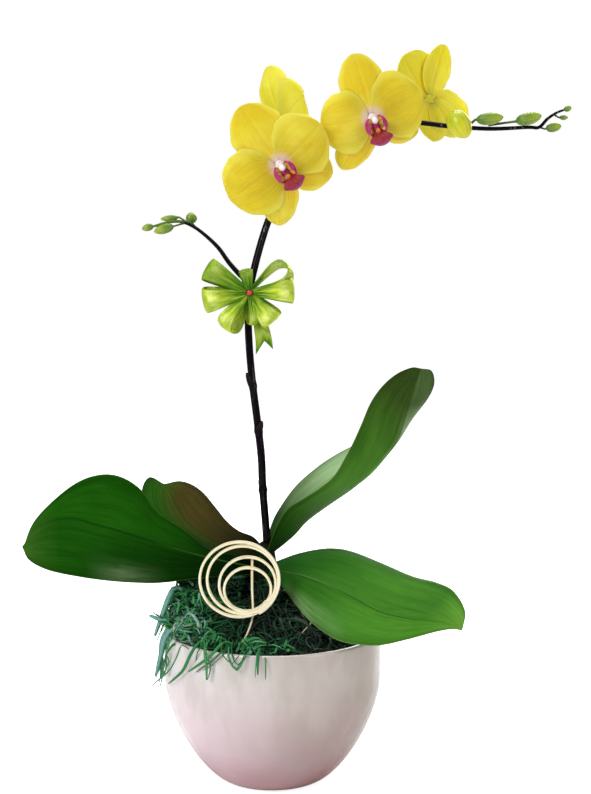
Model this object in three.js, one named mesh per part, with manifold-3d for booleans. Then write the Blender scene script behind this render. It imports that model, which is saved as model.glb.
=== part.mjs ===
// A potted moth orchid: a white bowl filled with potting mix and shredded moss, four leaves on a
// short crown, one arching flower spike with a side branch, four open blooms, ten buds, a satin
// bow tied round the spike and a coil of flat cane on a pick. Millimetres, +Z up, and the viewer
// stands on the -Y side. The origin is the middle of the bowl's flat foot.
import * as THREE from 'three';
import { mergeVertices } from 'three/addons/utils/BufferGeometryUtils.js';
import Module from 'manifold-3d';

const wasm = await Module();
wasm.setup();

// Clearance that touching pieces keep from each other.
const GAP = 0.3;

// Bowl.
const POT_HEIGHT = 112;
const POT_RIM_RADIUS = 80;
const POT_BELLY_RADIUS = 79.5;
const POT_BELLY_HEIGHT = 75;
const POT_FOOT_RADIUS = 34;
const POT_BELLY_POWER = 1.5;
const POT_WALL = 4;
const POT_SEGMENTS = 32;
const POT_FLOOR = 6;
const POT_ROWS = 10;
const POT_INNER_ROWS = 6;

// Filling.
const MIX_TOP = 100;
const MOSS_BASE = MIX_TOP + GAP;
const MOSS_RADIUS = 75.2;
const MOSS_EDGE_HEIGHT = 108;
const MOSS_RISE = 28;

// Crown, the short stem that holds the leaves.
const CROWN_X = -5;
const CROWN_Y = 1;
const CROWN_BOTTOM = 84;
const CROWN_TOP = 176.4;

// Blooms, measured from the middle of the flower.
const HUB_RADIUS = 4.2;
const TEPAL_THICKNESS = 0.9;

// Bow.
const RIBBON_THICKNESS = 0.8;
const BOW_CENTRE = new THREE.Vector3(-16, -6, 359);
const KNOT_RADIUS = 4.8;

const point = (x, y, z) => new THREE.Vector3(x, y, z);
const curveThrough = (points) => {
  const places = points.map((p) => point(...p));
  return new THREE.CatmullRomCurve3(places, false, 'catmullrom', 0.5);
};
const degrees = THREE.MathUtils.degToRad;
const lerp = THREE.MathUtils.lerp;

// ---------------------------------------------------------------- solids

/** Turns a closed geometry into a solid that can be joined and cut. */
function toSolid(geometry) {
  const bare = geometry.clone();
  bare.deleteAttribute('normal');
  bare.deleteAttribute('uv');
  const merged = mergeVertices(bare, 1e-4);
  return new wasm.Manifold(new wasm.Mesh({
    numProp: 3,
    vertProperties: new Float32Array(merged.attributes.position.array),
    triVerts: new Uint32Array(merged.index.array),
  }));
}

/** Turns a solid back into a geometry with flat normals. */
function toGeometry(solid) {
  const mesh = solid.getMesh();
  const geometry = new THREE.BufferGeometry();
  geometry.setAttribute('position', new THREE.BufferAttribute(mesh.vertProperties, mesh.numProp));
  geometry.setIndex(new THREE.BufferAttribute(mesh.triVerts, 1));
  geometry.computeVertexNormals();
  return geometry;
}

/** Makes a solid of points and triangles, turning the faces outwards where they point in. */
function closedSolid(points, triangles) {
  let volume = 0;
  const cross = new THREE.Vector3();
  for (const [a, b, c] of triangles) {
    volume += points[a].dot(cross.crossVectors(points[b], points[c]));
  }
  const outward = volume > 0 ? triangles : triangles.map(([a, b, c]) => [a, c, b]);
  const geometry = new THREE.BufferGeometry();
  geometry.setAttribute('position', new THREE.Float32BufferAttribute(points.flatMap((p) => p.toArray()), 3));
  geometry.setIndex(outward.flat());
  return toSolid(geometry);
}

/** Joins solids into one. */
const join = (solids) => solids.reduce((whole, solid) => whole.add(solid));

/** The largest body of a solid, without the loose scraps that a cut leaves. */
function largestBody(solid) {
  const bodies = solid.decompose();
  return bodies.reduce((best, body) => (body.volume() > best.volume() ? body : best));
}

/**
 * A sheet with a thickness. surface(u, v) gives its middle, u from the root (0) to the end (1)
 * and v across from -1 to 1. With a tip, the sheet narrows to one point at the end. Both faces
 * are split into triangles alike.
 */
function sheetSolid(surface, { rows, columns, thickness, tip = true, rowAt = (t) => t }) {
  const points = [];
  const triangles = [];
  const step = 1e-3;
  const add = (u, v) => {
    const uIn = Math.min(Math.max(u, step), 1 - 2 * step);
    const along = surface(uIn + step, v).sub(surface(uIn - step, v));
    const across = surface(uIn, Math.min(v + step, 1)).sub(surface(uIn, Math.max(v - step, -1)));
    const lift = along.cross(across).normalize().multiplyScalar(thickness(u, v) / 2);
    const middle = surface(u, v);
    points.push(middle.clone().add(lift), middle.clone().sub(lift));
    return points.length - 2;
  };
  const grid = [];
  const lastRow = tip ? rows - 1 : rows;
  for (let i = 0; i <= lastRow; i += 1) {
    const row = [];
    for (let j = 0; j <= columns; j += 1) row.push(add(rowAt(i / rows), (2 * j) / columns - 1));
    grid.push(row);
  }
  const triangle = (a, b, c) => triangles.push([a, b, c], [a + 1, c + 1, b + 1]);
  const rim = (a, b) => triangles.push([a, a + 1, b], [b, a + 1, b + 1]);
  for (let i = 0; i < lastRow; i += 1) {
    for (let j = 0; j < columns; j += 1) {
      triangle(grid[i][j], grid[i + 1][j], grid[i + 1][j + 1]);
      triangle(grid[i][j], grid[i + 1][j + 1], grid[i][j + 1]);
    }
    rim(grid[i][0], grid[i + 1][0]);
    rim(grid[i + 1][columns], grid[i][columns]);
  }
  for (let j = 0; j < columns; j += 1) rim(grid[0][j + 1], grid[0][j]);
  if (tip) {
    const end = add(1, 0);
    for (let j = 0; j < columns; j += 1) triangle(grid[lastRow][j], end, grid[lastRow][j + 1]);
    rim(grid[lastRow][0], end);
    rim(end, grid[lastRow][columns]);
  } else {
    for (let j = 0; j < columns; j += 1) rim(grid[lastRow][j], grid[lastRow][j + 1]);
  }
  return closedSolid(points, triangles);
}

/** Carries a section along a curve. section(t) gives its corners as [side, lift] pairs. */
function sweepSolid(curve, section, steps) {
  const frames = curve.computeFrenetFrames(steps, false);
  const points = [];
  const triangles = [];
  const sides = section(0).length;
  for (let i = 0; i <= steps; i += 1) {
    const centre = curve.getPointAt(i / steps);
    for (const [side, lift] of section(i / steps)) {
      points.push(centre.clone()
        .addScaledVector(frames.binormals[i], side)
        .addScaledVector(frames.normals[i], lift));
    }
  }
  for (let i = 0; i < steps; i += 1) {
    for (let j = 0; j < sides; j += 1) {
      const a = i * sides + j;
      const b = i * sides + ((j + 1) % sides);
      triangles.push([a, b, b + sides], [a, b + sides, a + sides]);
    }
  }
  for (let j = 1; j < sides - 1; j += 1) {
    triangles.push([0, j + 1, j]);
    triangles.push([steps * sides, steps * sides + j, steps * sides + j + 1]);
  }
  return closedSolid(points, triangles);
}

/** Corners of a round section with a given number of sides. */
function roundSection(radius, sides) {
  return Array.from({ length: sides }, (_, i) => {
    const angle = (2 * Math.PI * i) / sides;
    return [radius * Math.cos(angle), radius * Math.sin(angle)];
  });
}

/** Corners of a flat strip's section. */
const flatSection = (width, thickness) => [
  [width / 2, thickness / 2], [-width / 2, thickness / 2],
  [-width / 2, -thickness / 2], [width / 2, -thickness / 2],
];

/** A solid turned round the vertical axis from [radius, height] pairs. */
function turned(profile, segments) {
  const geometry = new THREE.LatheGeometry(profile.map(([r, z]) => new THREE.Vector2(r, z)), segments);
  return closedLathe(geometry.rotateX(Math.PI / 2));
}

/** A lathe geometry as a solid: its seam is merged and its poles lose their empty triangles. */
function closedLathe(geometry) {
  const bare = geometry.clone();
  bare.deleteAttribute('normal');
  bare.deleteAttribute('uv');
  const merged = mergeVertices(bare, 1e-4);
  const position = merged.attributes.position;
  const points = [];
  for (let i = 0; i < position.count; i += 1) {
    points.push(new THREE.Vector3().fromBufferAttribute(position, i));
  }
  const triangles = [];
  for (let i = 0; i < merged.index.count; i += 3) {
    const [a, b, c] = [0, 1, 2].map((k) => merged.index.getX(i + k));
    if (a !== b && b !== c && c !== a) triangles.push([a, b, c]);
  }
  return closedSolid(points, triangles);
}

/** An ellipsoid of the given half sizes round a centre. */
function ellipsoid(centre, halfSizes, segments = 12, rings = 8) {
  const geometry = new THREE.SphereGeometry(1, segments, rings);
  geometry.scale(...halfSizes).translate(...centre);
  return closedLathe(geometry);
}

/** Repeatable draws between 0 and 1. */
function seededDraws(seed) {
  let state = seed;
  return () => {
    state = (state + 0x6d2b79f5) | 0;
    let mixed = Math.imul(state ^ (state >>> 15), 1 | state);
    mixed = (mixed + Math.imul(mixed ^ (mixed >>> 7), 61 | mixed)) ^ mixed;
    return ((mixed ^ (mixed >>> 14)) >>> 0) / 4294967296;
  };
}

// ---------------------------------------------------------------- bowl and filling

/** Outer radius of the bowl at a height: a swelling curve up to the belly, then nearly straight. */
function potRadius(height) {
  if (height >= POT_BELLY_HEIGHT) {
    const share = (height - POT_BELLY_HEIGHT) / (POT_HEIGHT - POT_BELLY_HEIGHT);
    return lerp(POT_BELLY_RADIUS, POT_RIM_RADIUS, share);
  }
  const share = 1 - (1 - height / POT_BELLY_HEIGHT) ** POT_BELLY_POWER;
  return lerp(POT_FOOT_RADIUS, POT_BELLY_RADIUS, share ** (1 / POT_BELLY_POWER));
}

/** The bowl's side moved inwards by a distance, from low to high, as [radius, height] pairs. */
function potSide(inset, lowest, highest, rows) {
  const side = [];
  for (let i = 0; i <= rows; i += 1) {
    const height = POT_HEIGHT * (i / rows) ** 1.6;
    const step = 0.2;
    const low = Math.max(height - step, 0);
    const slope = (potRadius(height + step) - potRadius(low)) / (height + step - low);
    const scale = inset / Math.hypot(1, slope);
    side.push([potRadius(height) - scale, height + slope * scale]);
  }
  const within = side.filter(([, z]) => z > lowest + 0.8 && z < highest - 0.8);
  const radiusAt = (z) => {
    const k = Math.max(side.findIndex(([, height]) => height >= z), 1);
    const [[r0, z0], [r1, z1]] = [side[k - 1], side[k]];
    return lerp(r0, r1, (z - z0) / (z1 - z0));
  };
  return [[radiusAt(lowest), lowest], ...within, [radiusAt(highest), highest]];
}

/** The glazed bowl with a flat foot and a softly rounded rim. */
function pot() {
  const outer = potSide(0, 0, POT_HEIGHT - 1.4, POT_ROWS);
  const inner = potSide(POT_WALL, POT_FLOOR, POT_HEIGHT - 1.4, POT_INNER_ROWS).reverse();
  const rim = [[POT_RIM_RADIUS - 1.2, POT_HEIGHT], [POT_RIM_RADIUS - POT_WALL + 1.2, POT_HEIGHT]];
  return turned([[0, 0], ...outer, ...rim, ...inner, [0, POT_FLOOR]], POT_SEGMENTS);
}

/** Potting mix that fills the bowl up to a little below the rim. */
function pottingMix() {
  const side = potSide(POT_WALL + GAP, POT_FLOOR + GAP, MIX_TOP, POT_INNER_ROWS);
  return turned([[0, POT_FLOOR + GAP], ...side, [0, MIX_TOP]], POT_SEGMENTS);
}

/** A smooth hump of the moss round a spot. */
const hump = (x, y, { x: middleX, y: middleY, rise, spread }) => {
  const squared = (x - middleX) ** 2 + (y - middleY) ** 2;
  return rise * Math.exp(-squared / (2 * spread ** 2));
};

const MOSS_HUMPS = [
  { x: 8, y: 26, rise: 13, spread: 14 },
  { x: -58, y: -10, rise: 22, spread: 13 },
];

/** Height of the moss at a place, without its strands. */
function mossHeight(x, y) {
  const share = Math.min(Math.hypot(x, y) / MOSS_RADIUS, 1);
  const humps = MOSS_HUMPS.reduce((sum, spot) => sum + hump(x, y, spot), 0);
  const edge = 1 - share ** 8;
  return MOSS_EDGE_HEIGHT + (MOSS_RISE * (1 - share ** 2) + humps) * edge;
}

/** The packed middle of the moss: a mound from wall to wall. */
function mossMound() {
  const rings = 6;
  const segments = 24;
  const points = [point(0, 0, MOSS_BASE), point(0, 0, mossHeight(0, 0))];
  const triangles = [];
  const ringStart = (i) => 2 + i * segments;
  const sideRadius = MOSS_RADIUS * 0.999;
  for (let i = 0; i <= rings; i += 1) {
    for (let j = 0; j < segments; j += 1) {
      const angle = (2 * Math.PI * j) / segments;
      const radius = i === 0 ? sideRadius : sideRadius * (1 - (i - 1) / rings);
      const [x, y] = [radius * Math.cos(angle), radius * Math.sin(angle)];
      points.push(point(x, y, i === 0 ? MOSS_BASE : mossHeight(x, y)));
    }
  }
  for (let j = 0; j < segments; j += 1) {
    const k = (j + 1) % segments;
    triangles.push([0, ringStart(0) + k, ringStart(0) + j]);
    triangles.push([1, ringStart(rings) + j, ringStart(rings) + k]);
    for (let i = 0; i < rings; i += 1) {
      triangles.push([ringStart(i) + j, ringStart(i) + k, ringStart(i + 1) + k]);
      triangles.push([ringStart(i) + j, ringStart(i + 1) + k, ringStart(i + 1) + j]);
    }
  }
  return closedSolid(points, triangles);
}

// Strands that hang over the rim: the points they pass, from the moss outwards.
const HANGING_STRANDS = [
  [[-58, -20, 124], [-68, -20, 125], [-78, -20, 122], [-86, -20, 121], [-91, -20, 124]],
  [[-62, -12, 134], [-70, -16, 143], [-78, -18, 130], [-83, -20, 117], [-87, -20, 108]],
  [[-62, -26, 114], [-72, -28, 119], [-80, -27, 110], [-83, -22, 94], [-82, -14, 84], [-88, -12, 73]],
  [[-56, -34, 112], [-66, -40, 118], [-73, -43, 112], [-76, -36, 100], [-78, -29, 90], [-80, -22, 80]],
  [[-42, -50, 110], [-50, -60, 117], [-56, -64, 110], [-62, -56, 96], [-68, -48, 88], [-74, -36, 80]],
  [[-44, -46, 112], [-45, -62, 118], [-46, -71, 112], [-45, -72, 104], [-45, -71, 93]],
  [[-24, -50, 112], [-33, -66, 118], [-40, -74, 113], [-47, -70, 106], [-58, -61, 96]],
  [[-26, -62, 110], [-29, -73, 117], [-29, -80, 111], [-24, -81, 103], [-19, -81, 110], [-14, -76, 117],
    [-10, -66, 110]],
  [[-6, -64, 108], [-8, -75, 116], [-9, -84, 110], [-9, -84, 98]],
];

/** One strand of moss: a flat strip along a curve. */
function strand(points, width, thickness, extra = 0) {
  const curve = curveThrough(points);
  const half = width / 2 + extra;
  const section = [[half, -extra], [-half, -extra], [0, thickness + extra]];
  return sweepSolid(curve, () => section, points.length);
}

/** A drawn strand that leaves the mound, arches over it and dips in again or ends in a curl. */
function drawnStrand(draw) {
  const radius = MOSS_RADIUS * 0.93 * Math.sqrt(draw());
  const angle = 2 * Math.PI * draw();
  const [x, y] = [radius * Math.cos(angle), radius * Math.sin(angle)];
  const heading = 2 * Math.PI * draw();
  const turn = (draw() - 0.5) * 2.4;
  const reach = 14 + 20 * draw();
  const rise = 3 + 5 * draw();
  const curls = draw() < 0.35;
  const points = [];
  let [px, py] = [x, y];
  for (let i = 0; i <= 3; i += 1) {
    const t = i / 3;
    const limit = Math.min(1, (MOSS_RADIUS * 0.94) / Math.max(Math.hypot(px, py), 1e-6));
    px *= limit;
    py *= limit;
    const above = curls ? rise * Math.sin(0.62 * Math.PI * t) * 1.4 : rise * Math.sin(Math.PI * t);
    points.push([px, py, mossHeight(px, py) - 2.2 + 2.2 * (curls ? t : 0) + above]);
    px += (reach / 3) * Math.cos(heading + turn * t);
    py += (reach / 3) * Math.sin(heading + turn * t);
  }
  return points;
}

/** The moss: mound and strands as one piece. Strands that would touch a neighbour are drawn again. */
function shreddedMoss(neighbours, count) {
  const draw = seededDraws(20);
  const width = 3;
  const thickness = 1.3;
  const strands = HANGING_STRANDS.map((points) => strand(points, width, thickness));
  for (let tries = 0; strands.length < count && tries < 6 * count; tries += 1) {
    const points = drawnStrand(draw);
    const wide = strand(points, width, thickness, GAP);
    if (wide.intersect(neighbours).isEmpty()) strands.push(strand(points, width, thickness));
  }
  return join([mossMound(), ...strands]);
}

// ---------------------------------------------------------------- crown and leaves

/** The crown: a short stem that tapers into the mix. A positive extra makes it thicker all over. */
function crown(extra = 0) {
  const profile = [
    [0, CROWN_BOTTOM - extra], [2.5 + extra, CROWN_BOTTOM - extra], [5 + extra, 96], [7 + extra, 114],
    [8.2 + extra, 138], [9.2 + extra, 150], [8.6 + extra, 160], [7.2 + extra, 169],
    [4.4 + extra, CROWN_TOP + extra], [0, CROWN_TOP + extra],
  ];
  return turned(profile, 12).translate([CROWN_X, CROWN_Y, 0]);
}

// Each leaf has three rails from its root in the crown to its tip: the midrib and both edges.
const LEAVES = {
  leaf_left: {
    colour: 0x1c5a18,
    bulge: 3,
    midrib: [[-8, 3, 155], [-31, 0, 160], [-49, -4, 165], [-78, -12, 175], [-102, -20, 185], [-123, -27, 193],
      [-145, -34, 200], [-164, -39, 195], [-176, -42, 180]],
    back: [[-8, 6, 158], [-32, 12, 164], [-49, 15, 168], [-67, 17, 182], [-86, 16, 195], [-98, 11, 214],
      [-114, 1, 225], [-131, -10, 226], [-148, -21, 218], [-168, -34, 199], [-176, -42, 180]],
    front: [[-8, -1, 152], [-31, -6, 152], [-52, -13, 152], [-78, -24, 151], [-99, -32, 153],
      [-118, -39, 156],
      [-138, -43, 160], [-158, -45, 165], [-171, -45, 172], [-176, -42, 180]],
  },
  leaf_left_rear: {
    colour: 0x4a4a20,
    bulge: -2,
    midrib: [[-6, 4, 160], [-17, 10, 164], [-30, 17, 167], [-45, 24, 172], [-62, 31, 182], [-72, 36, 195],
      [-82, 40, 212]],
    back: [[-5, 6, 163], [-15, 11, 168], [-26, 19, 173], [-35, 30, 184], [-43, 38, 194], [-52, 43, 204],
      [-61, 47, 210], [-71, 47, 213], [-82, 40, 212]],
    front: [[-8, 5, 157], [-18, 14, 160], [-34, 23, 162], [-53, 31, 165], [-70, 38, 170], [-84, 44, 178],
      [-95, 48, 190], [-100, 50, 204], [-94, 47, 216], [-82, 40, 212]],
  },
  leaf_right_upright: {
    colour: 0x355c22,
    bulge: -3,
    midrib: [[-5, 3, 164], [14, 0, 180], [25, -1, 192], [41, -1, 204], [57, 0, 215], [72, 1, 227],
      [82, 1, 239], [91, 0, 253], [98, 0, 276], [103, 2, 291], [108, 6, 303]],
    back: [[-6, 7, 168], [-1, 15, 186], [5, 20, 197], [18, 25, 214], [33, 29, 227], [46, 31, 235],
      [62, 31, 243], [78, 27, 249], [93, 22, 256], [104, 17, 267], [113, 12, 279], [118, 9, 291],
      [116, 7, 301], [108, 6, 303]],
    front: [[-5, -3, 166], [3, -14, 190], [11, -22, 204], [21, -27, 212], [34, -29, 221], [45, -28, 230],
      [54, -22, 244], [63, -16, 263], [71, -11, 280], [80, -7, 292], [90, -3, 300], [101, 2, 304],
      [108, 6, 303]],
  },
  leaf_right_low: {
    colour: 0x3c8c1e,
    bulge: 3,
    midrib: [[-5, -1, 156], [11, -14, 156], [25, -24, 155], [42, -36, 151], [58, -48, 145],
      [76, -59, 138], [96, -68, 135], [117, -75, 134], [132, -79, 131]],
    back: [[-4, 3, 158], [8, 2, 163], [18, 0, 167], [33, -4, 171], [46, -9, 173], [59, -16, 172],
      [79, -28, 166],
      [100, -42, 160], [116, -54, 158], [127, -63, 154], [134, -74, 143], [132, -79, 131]],
    front: [[-5, -4, 154], [6, -22, 149], [18, -38, 137], [26, -48, 130], [37, -57, 123], [47, -64, 119],
      [58, -70, 118], [75, -76, 119], [94, -80, 124], [113, -82, 130], [124, -82, 132], [132, -79, 131]],
  },
};

/** A leaf blade stretched between its rails, a little arched between midrib and edge. */
function leafBlade({ midrib, back, front, bulge }, extra = 0) {
  const rails = [back, midrib, front].map(curveThrough);
  const surface = (u, v) => {
    const [backAt, middle, frontAt] = rails.map((rail) => rail.getPointAt(u));
    const edge = v < 0 ? backAt : frontAt;
    const share = Math.abs(v);
    const along = rails[1].getTangentAt(u);
    const across = frontAt.clone().sub(backAt);
    const normal = across.cross(along).normalize();
    const arch = bulge * Math.sin(Math.PI * u) * 4 * share * (1 - share);
    return middle.lerp(edge, share).addScaledVector(normal, arch);
  };
  const thickness = (u, v) => lerp(2.4, 1, Math.abs(v)) + 2 * extra;
  return sheetSolid(surface, { rows: 14, columns: 6, thickness, rowAt: (t) => 1 - (1 - t) ** 1.35 });
}

// ---------------------------------------------------------------- flower spike

const SPIKE_PATH = [
  [-4, 0, CROWN_TOP + GAP], [-5, -1, 192], [-7, -2, 218], [-8, -2, 240], [-11, 0, 266], [-14, 0, 290],
  [-16, 0, 312], [-17, 0, 331], [-17, 1, 345], [-16, 2, 358], [-14, 3, 370], [-9, 6, 390],
  [-3, 10, 409], [3, 13, 422],
  [11, 15, 439], [22, 16, 453], [36, 16, 465], [53, 15, 473], [74, 12, 478], [98, 8, 480], [126, 4, 477],
  [155, 1, 475], [182, 0, 476],
];
const SPIKE_TIP_PATH = [[178, 0, 475.8], [190, 0, 476], [196, -1, 482], [202, -1, 486], [207, -1, 488]];
const BRANCH_PATH = [
  [-15, 2, 362], [-19, 2, 367], [-24, 2, 372], [-31, 2, 380], [-38, 1, 390], [-46, 0, 398], [-55, -1, 405],
  [-64, -2, 409], [-73, -2, 409], [-84, -2, 406],
];
const SPIKE_RADII = [[0, 2.8], [0.5, 2.6], [0.7, 2.1], [0.9, 1.5], [1, 1.2]];

/** Straight-line reading of a [place, value] table. */
function readTable(table, place) {
  const k = Math.max(table.findIndex(([at]) => at >= place), 1);
  const [[p0, v0], [p1, v1]] = [table[k - 1], table[k]];
  return lerp(v0, v1, (place - p0) / (p1 - p0));
}

// Scale leaves that sit at the nodes of the spike: where along it, and on which side.
const SPIKE_BRACTS = [
  { root: [-15, -2, 292], tip: [-20, -3, 303] },
  { root: [-10, -2, 258], tip: [-6, -4, 268] },
  { root: [-6, -2, 215], tip: [-11, -4, 225] },
];

/** A small pointed scale leaf against the spike. */
function bract({ root, tip }) {
  const axis = new THREE.LineCurve3(point(...root), point(...tip));
  return sweepSolid(axis, (t) => roundSection(lerp(2.6, 0.5, t ** 2), 5), 2);
}

/** A flower or bud stalk: from inside the spike, through the listed points. */
function stalk(points, radius, steps) {
  return sweepSolid(curveThrough(points), (t) => roundSection(radius * lerp(1, 0.85, t), 5), steps);
}

/** The spike with its side branch, bracts and all flower and bud stalks, as one piece. */
function flowerSpike(stalks) {
  const stem = sweepSolid(curveThrough(SPIKE_PATH), (t) => roundSection(readTable(SPIKE_RADII, t), 6), 40);
  const tip = sweepSolid(curveThrough(SPIKE_TIP_PATH), (t) => roundSection(lerp(1.2, 0.8, t), 5), 7);
  const branch = sweepSolid(curveThrough(BRANCH_PATH), (t) => roundSection(lerp(2, 0.9, t), 5), 12);
  return join([stem, tip, branch, ...SPIKE_BRACTS.map(bract), ...stalks]);
}

// ---------------------------------------------------------------- buds

// Buds: stalk end to bud tip, and the widest breadth. from is where the stalk leaves the spike.
const BUDS = {
  bud_right_1: { from: [118, 5, 478], base: [124, -8, 487], tip: [139, -14, 468], width: 19 },
  bud_right_2: { from: [139, 2, 476], base: [145, -3, 481], tip: [164, -6, 483], width: 9.5 },
  bud_right_3: { from: [166, 1, 476], base: [173, -3, 480], tip: [191, -6, 484], width: 9.5 },
  bud_right_4: { from: [190, 0, 476], base: [195, 0, 475], tip: [206, 0, 477], width: 7 },
  bud_right_5: { from: [202, -1, 486], base: [207.4, -1, 488.1], tip: [213, -1, 490], width: 4.5 },
  bud_right_6: { from: [200, -1, 485], base: [205, 2, 483], tip: [211, 3, 483], width: 4 },
  bud_left_1: { from: [-50, -1, 401], base: [-57, 4, 408], tip: [-59, 7, 415.5], width: 8.4 },
  bud_left_2: { from: [-66, -2, 409], base: [-70, -5, 406], tip: [-84, -6, 402], width: 7.4 },
  bud_left_3: { from: [-63, -2, 409], base: [-67, 2, 412], tip: [-80, 4, 411], width: 4.6 },
  bud_left_4: { from: [-80, -2, 407.5], base: [-84.5, -2, 406], tip: [-93, -2, 404], width: 5.4 },
};

/** A bud: a drop with faint seams, blunt at the stalk and pointed at the tip. */
function bud({ base, tip, width }) {
  const axis = new THREE.LineCurve3(point(...base), point(...tip));
  const sides = 7;
  const swell = (t) => Math.sin(Math.PI * Math.min(0.08 + 0.9 * t, 1)) ** 0.75;
  const radiusAt = (t) => width * (0.12 + 0.38 * swell(t));
  const section = (t) => roundSection(1, sides).map(([x, y]) => {
    const seam = 1 - 0.05 * Math.cos(4 * Math.atan2(y, x));
    const shrink = t > 0.999 ? 0.35 : 1;
    return [x * seam * shrink * radiusAt(t), y * seam * shrink * radiusAt(t)];
  });
  return sweepSolid(axis, section, 5);
}

/** The stalk of a bud, ending just short of it. */
function budStalk({ from, base, tip, width }) {
  const end = point(...base);
  const back = end.clone().sub(point(...tip)).normalize();
  const stop = end.clone().addScaledVector(back, GAP);
  const bend = end.clone().addScaledVector(back, 2.2);
  return stalk([from, bend.toArray(), stop.toArray()], Math.max(0.1 * width, 0.7), 2);
}

// ---------------------------------------------------------------- blooms

// Where each bloom is, which way it faces (turn to the right from the viewer, nod, roll), where
// its stalk leaves the spike, and the direction (degrees), length and width of its tepals.
const BLOOMS = {
  bloom_front_left: {
    centre: [6, -22, 449], turn: 8, nod: -10, roll: 36, from: [15, 15.5, 445],
    dorsal: { angle: 89, length: 48.5, width: 36 },
    petals: [{ angle: -10, length: 38, width: 42 }, { angle: 182, length: 42, width: 48 }],
    laterals: [{ angle: 236, length: 44, width: 24 }, { angle: 313, length: 39, width: 22 }],
  },
  bloom_front_right: {
    centre: [71, -10, 482], turn: 8, nod: -10, roll: 20, from: [62, 14, 476],
    dorsal: { angle: 88, length: 46, width: 29 },
    petals: [{ angle: 4, length: 39, width: 45 }, { angle: 176, length: 34, width: 41 }],
    laterals: [{ angle: 222, length: 42, width: 22 }, { angle: 325, length: 35, width: 22 }],
  },
  bloom_rear_left: {
    centre: [8, 45, 482], turn: -66, nod: -14, roll: 24, from: [36, 16, 465], via: [33, 37, 473],
    dorsal: { angle: 94, length: 46, width: 31, twist: 35 },
    petals: [{ angle: -8, length: 38, width: 44 }, { angle: 178, length: 42, width: 46 }],
    laterals: [{ angle: 227, length: 43, width: 25 }, { angle: 313, length: 38, width: 24 }],
  },
  bloom_rear_right: {
    centre: [115, 38, 498], turn: 215, nod: -6, roll: 8, from: [104, 7, 479.5],
    dorsal: { angle: 92, length: 41, width: 27 },
    petals: [{ angle: 48, length: 38, width: 38 }, { angle: 184, length: 37, width: 36 }],
    laterals: [{ angle: 224, length: 34, width: 22 }, { angle: 262, length: 32, width: 22 }],
  },
};

/** Turns and places a bloom: x to its right petal, y to its top sepal, z the way it faces. */
function bloomPlace({ centre, turn, nod, roll }) {
  const [t, n, r] = [turn, nod, roll].map(degrees);
  const face = point(Math.sin(t) * Math.cos(n), -Math.cos(t) * Math.cos(n), Math.sin(n));
  const right = point(Math.cos(t), Math.sin(t), 0);
  const up = face.clone().cross(right);
  const x = right.clone().multiplyScalar(Math.cos(r)).addScaledVector(up, Math.sin(r));
  const y = right.clone().multiplyScalar(-Math.sin(r)).addScaledVector(up, Math.cos(r));
  return new THREE.Matrix4().makeBasis(x, y, face).setPosition(...centre);
}

/** Breadth of a tepal along its length, as a share of the widest: a narrow root and a round tip. */
function tepalBreadth(u, rootPower, tipPower) {
  const widest = rootPower / (rootPower + tipPower);
  const shape = (x) => x ** rootPower * (1 - x) ** tipPower;
  return shape(u) / shape(widest);
}

/** One petal or sepal of a bloom, pointing away from the middle at an angle. */
function tepal({ angle, length, width, depth, reflex, cup, columns, breadth, twist = 0, ruffle = 0 }) {
  const start = 2.5;
  const out = point(Math.cos(degrees(angle)), Math.sin(degrees(angle)), 0);
  const side = point(-out.y, out.x, 0);
  const surface = (u, v) => {
    const half = (width / 2) * tepalBreadth(u, ...breadth) + 2.4 * (1 - u) ** 2;
    const across = half * v;
    const turned = degrees(twist) * Math.min(u * 2, 1);
    const wave = ruffle * Math.sin(9 * u + 2 * v) * Math.abs(v) ** 3 * u;
    const lift = depth + 5 * u - reflex * u ** 2 + cup * v ** 2 * (half / (width / 2)) + wave;
    return out.clone().multiplyScalar(lerp(start, length, u))
      .addScaledVector(side, across * Math.cos(turned))
      .add(point(0, 0, lift + across * Math.sin(turned)));
  };
  const rowAt = (t) => 1 - (1 - t) ** 1.7;
  return sheetSolid(surface, { rows: 5, columns, thickness: () => TEPAL_THICKNESS, rowAt });
}

// Sepals lie behind the petals. Both rise a little from the hub and bend back towards the tip.
const SEPAL_FORM = { depth: -0.9, reflex: 10, cup: -2.5, columns: 4, breadth: [0.72, 0.52] };
const PETAL_FORM = { depth: 0.8, reflex: 10, cup: -2, columns: 5, breadth: [0.7, 0.56], ruffle: 1.2 };

/** The three sepals and two broad petals, joined at the hub in which the stalk ends. */
function bloomTepals({ dorsal, petals, laterals }) {
  const sepals = [dorsal, ...laterals].map((shape) => tepal({ ...SEPAL_FORM, ...shape }));
  const hub = ellipsoid([0, 0, 0], Array(3).fill(HUB_RADIUS), 6, 4);
  return join([hub, ...sepals, ...petals.map((shape) => tepal({ ...PETAL_FORM, ...shape }))]);
}

/** The column in the middle of a bloom, a short blunt rod that leans over the lip. */
function bloomColumn(extra = 0) {
  const curve = curveThrough([[0, 1, 1], [0, 0.8, 5], [0, 0, 9], [0, -1.2, 12]]);
  const radii = [[0, 2.2], [0.5, 2.6], [0.8, 3], [1, 1.9]];
  return sweepSolid(curve, (t) => roundSection(readTable(radii, t) + extra, 6), 4);
}

/** One upright side lobe of the lip, curved in over the throat. */
function sideLobe(sign) {
  const surface = (u, v) => {
    const half = 4.6 * Math.sin(Math.PI * (0.12 + 0.8 * u)) ** 0.6 * (1 - 0.35 * u);
    const out = 2.4 + 5.2 * Math.sin(1.9 * u);
    return point(sign * out, -6.5 - half * v * 1.05 + 1.5 * u, 4.6 + 9 * u - 0.8 * v ** 2);
  };
  return sheetSolid(surface, { rows: 3, columns: 2, thickness: () => 0.9 });
}

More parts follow.
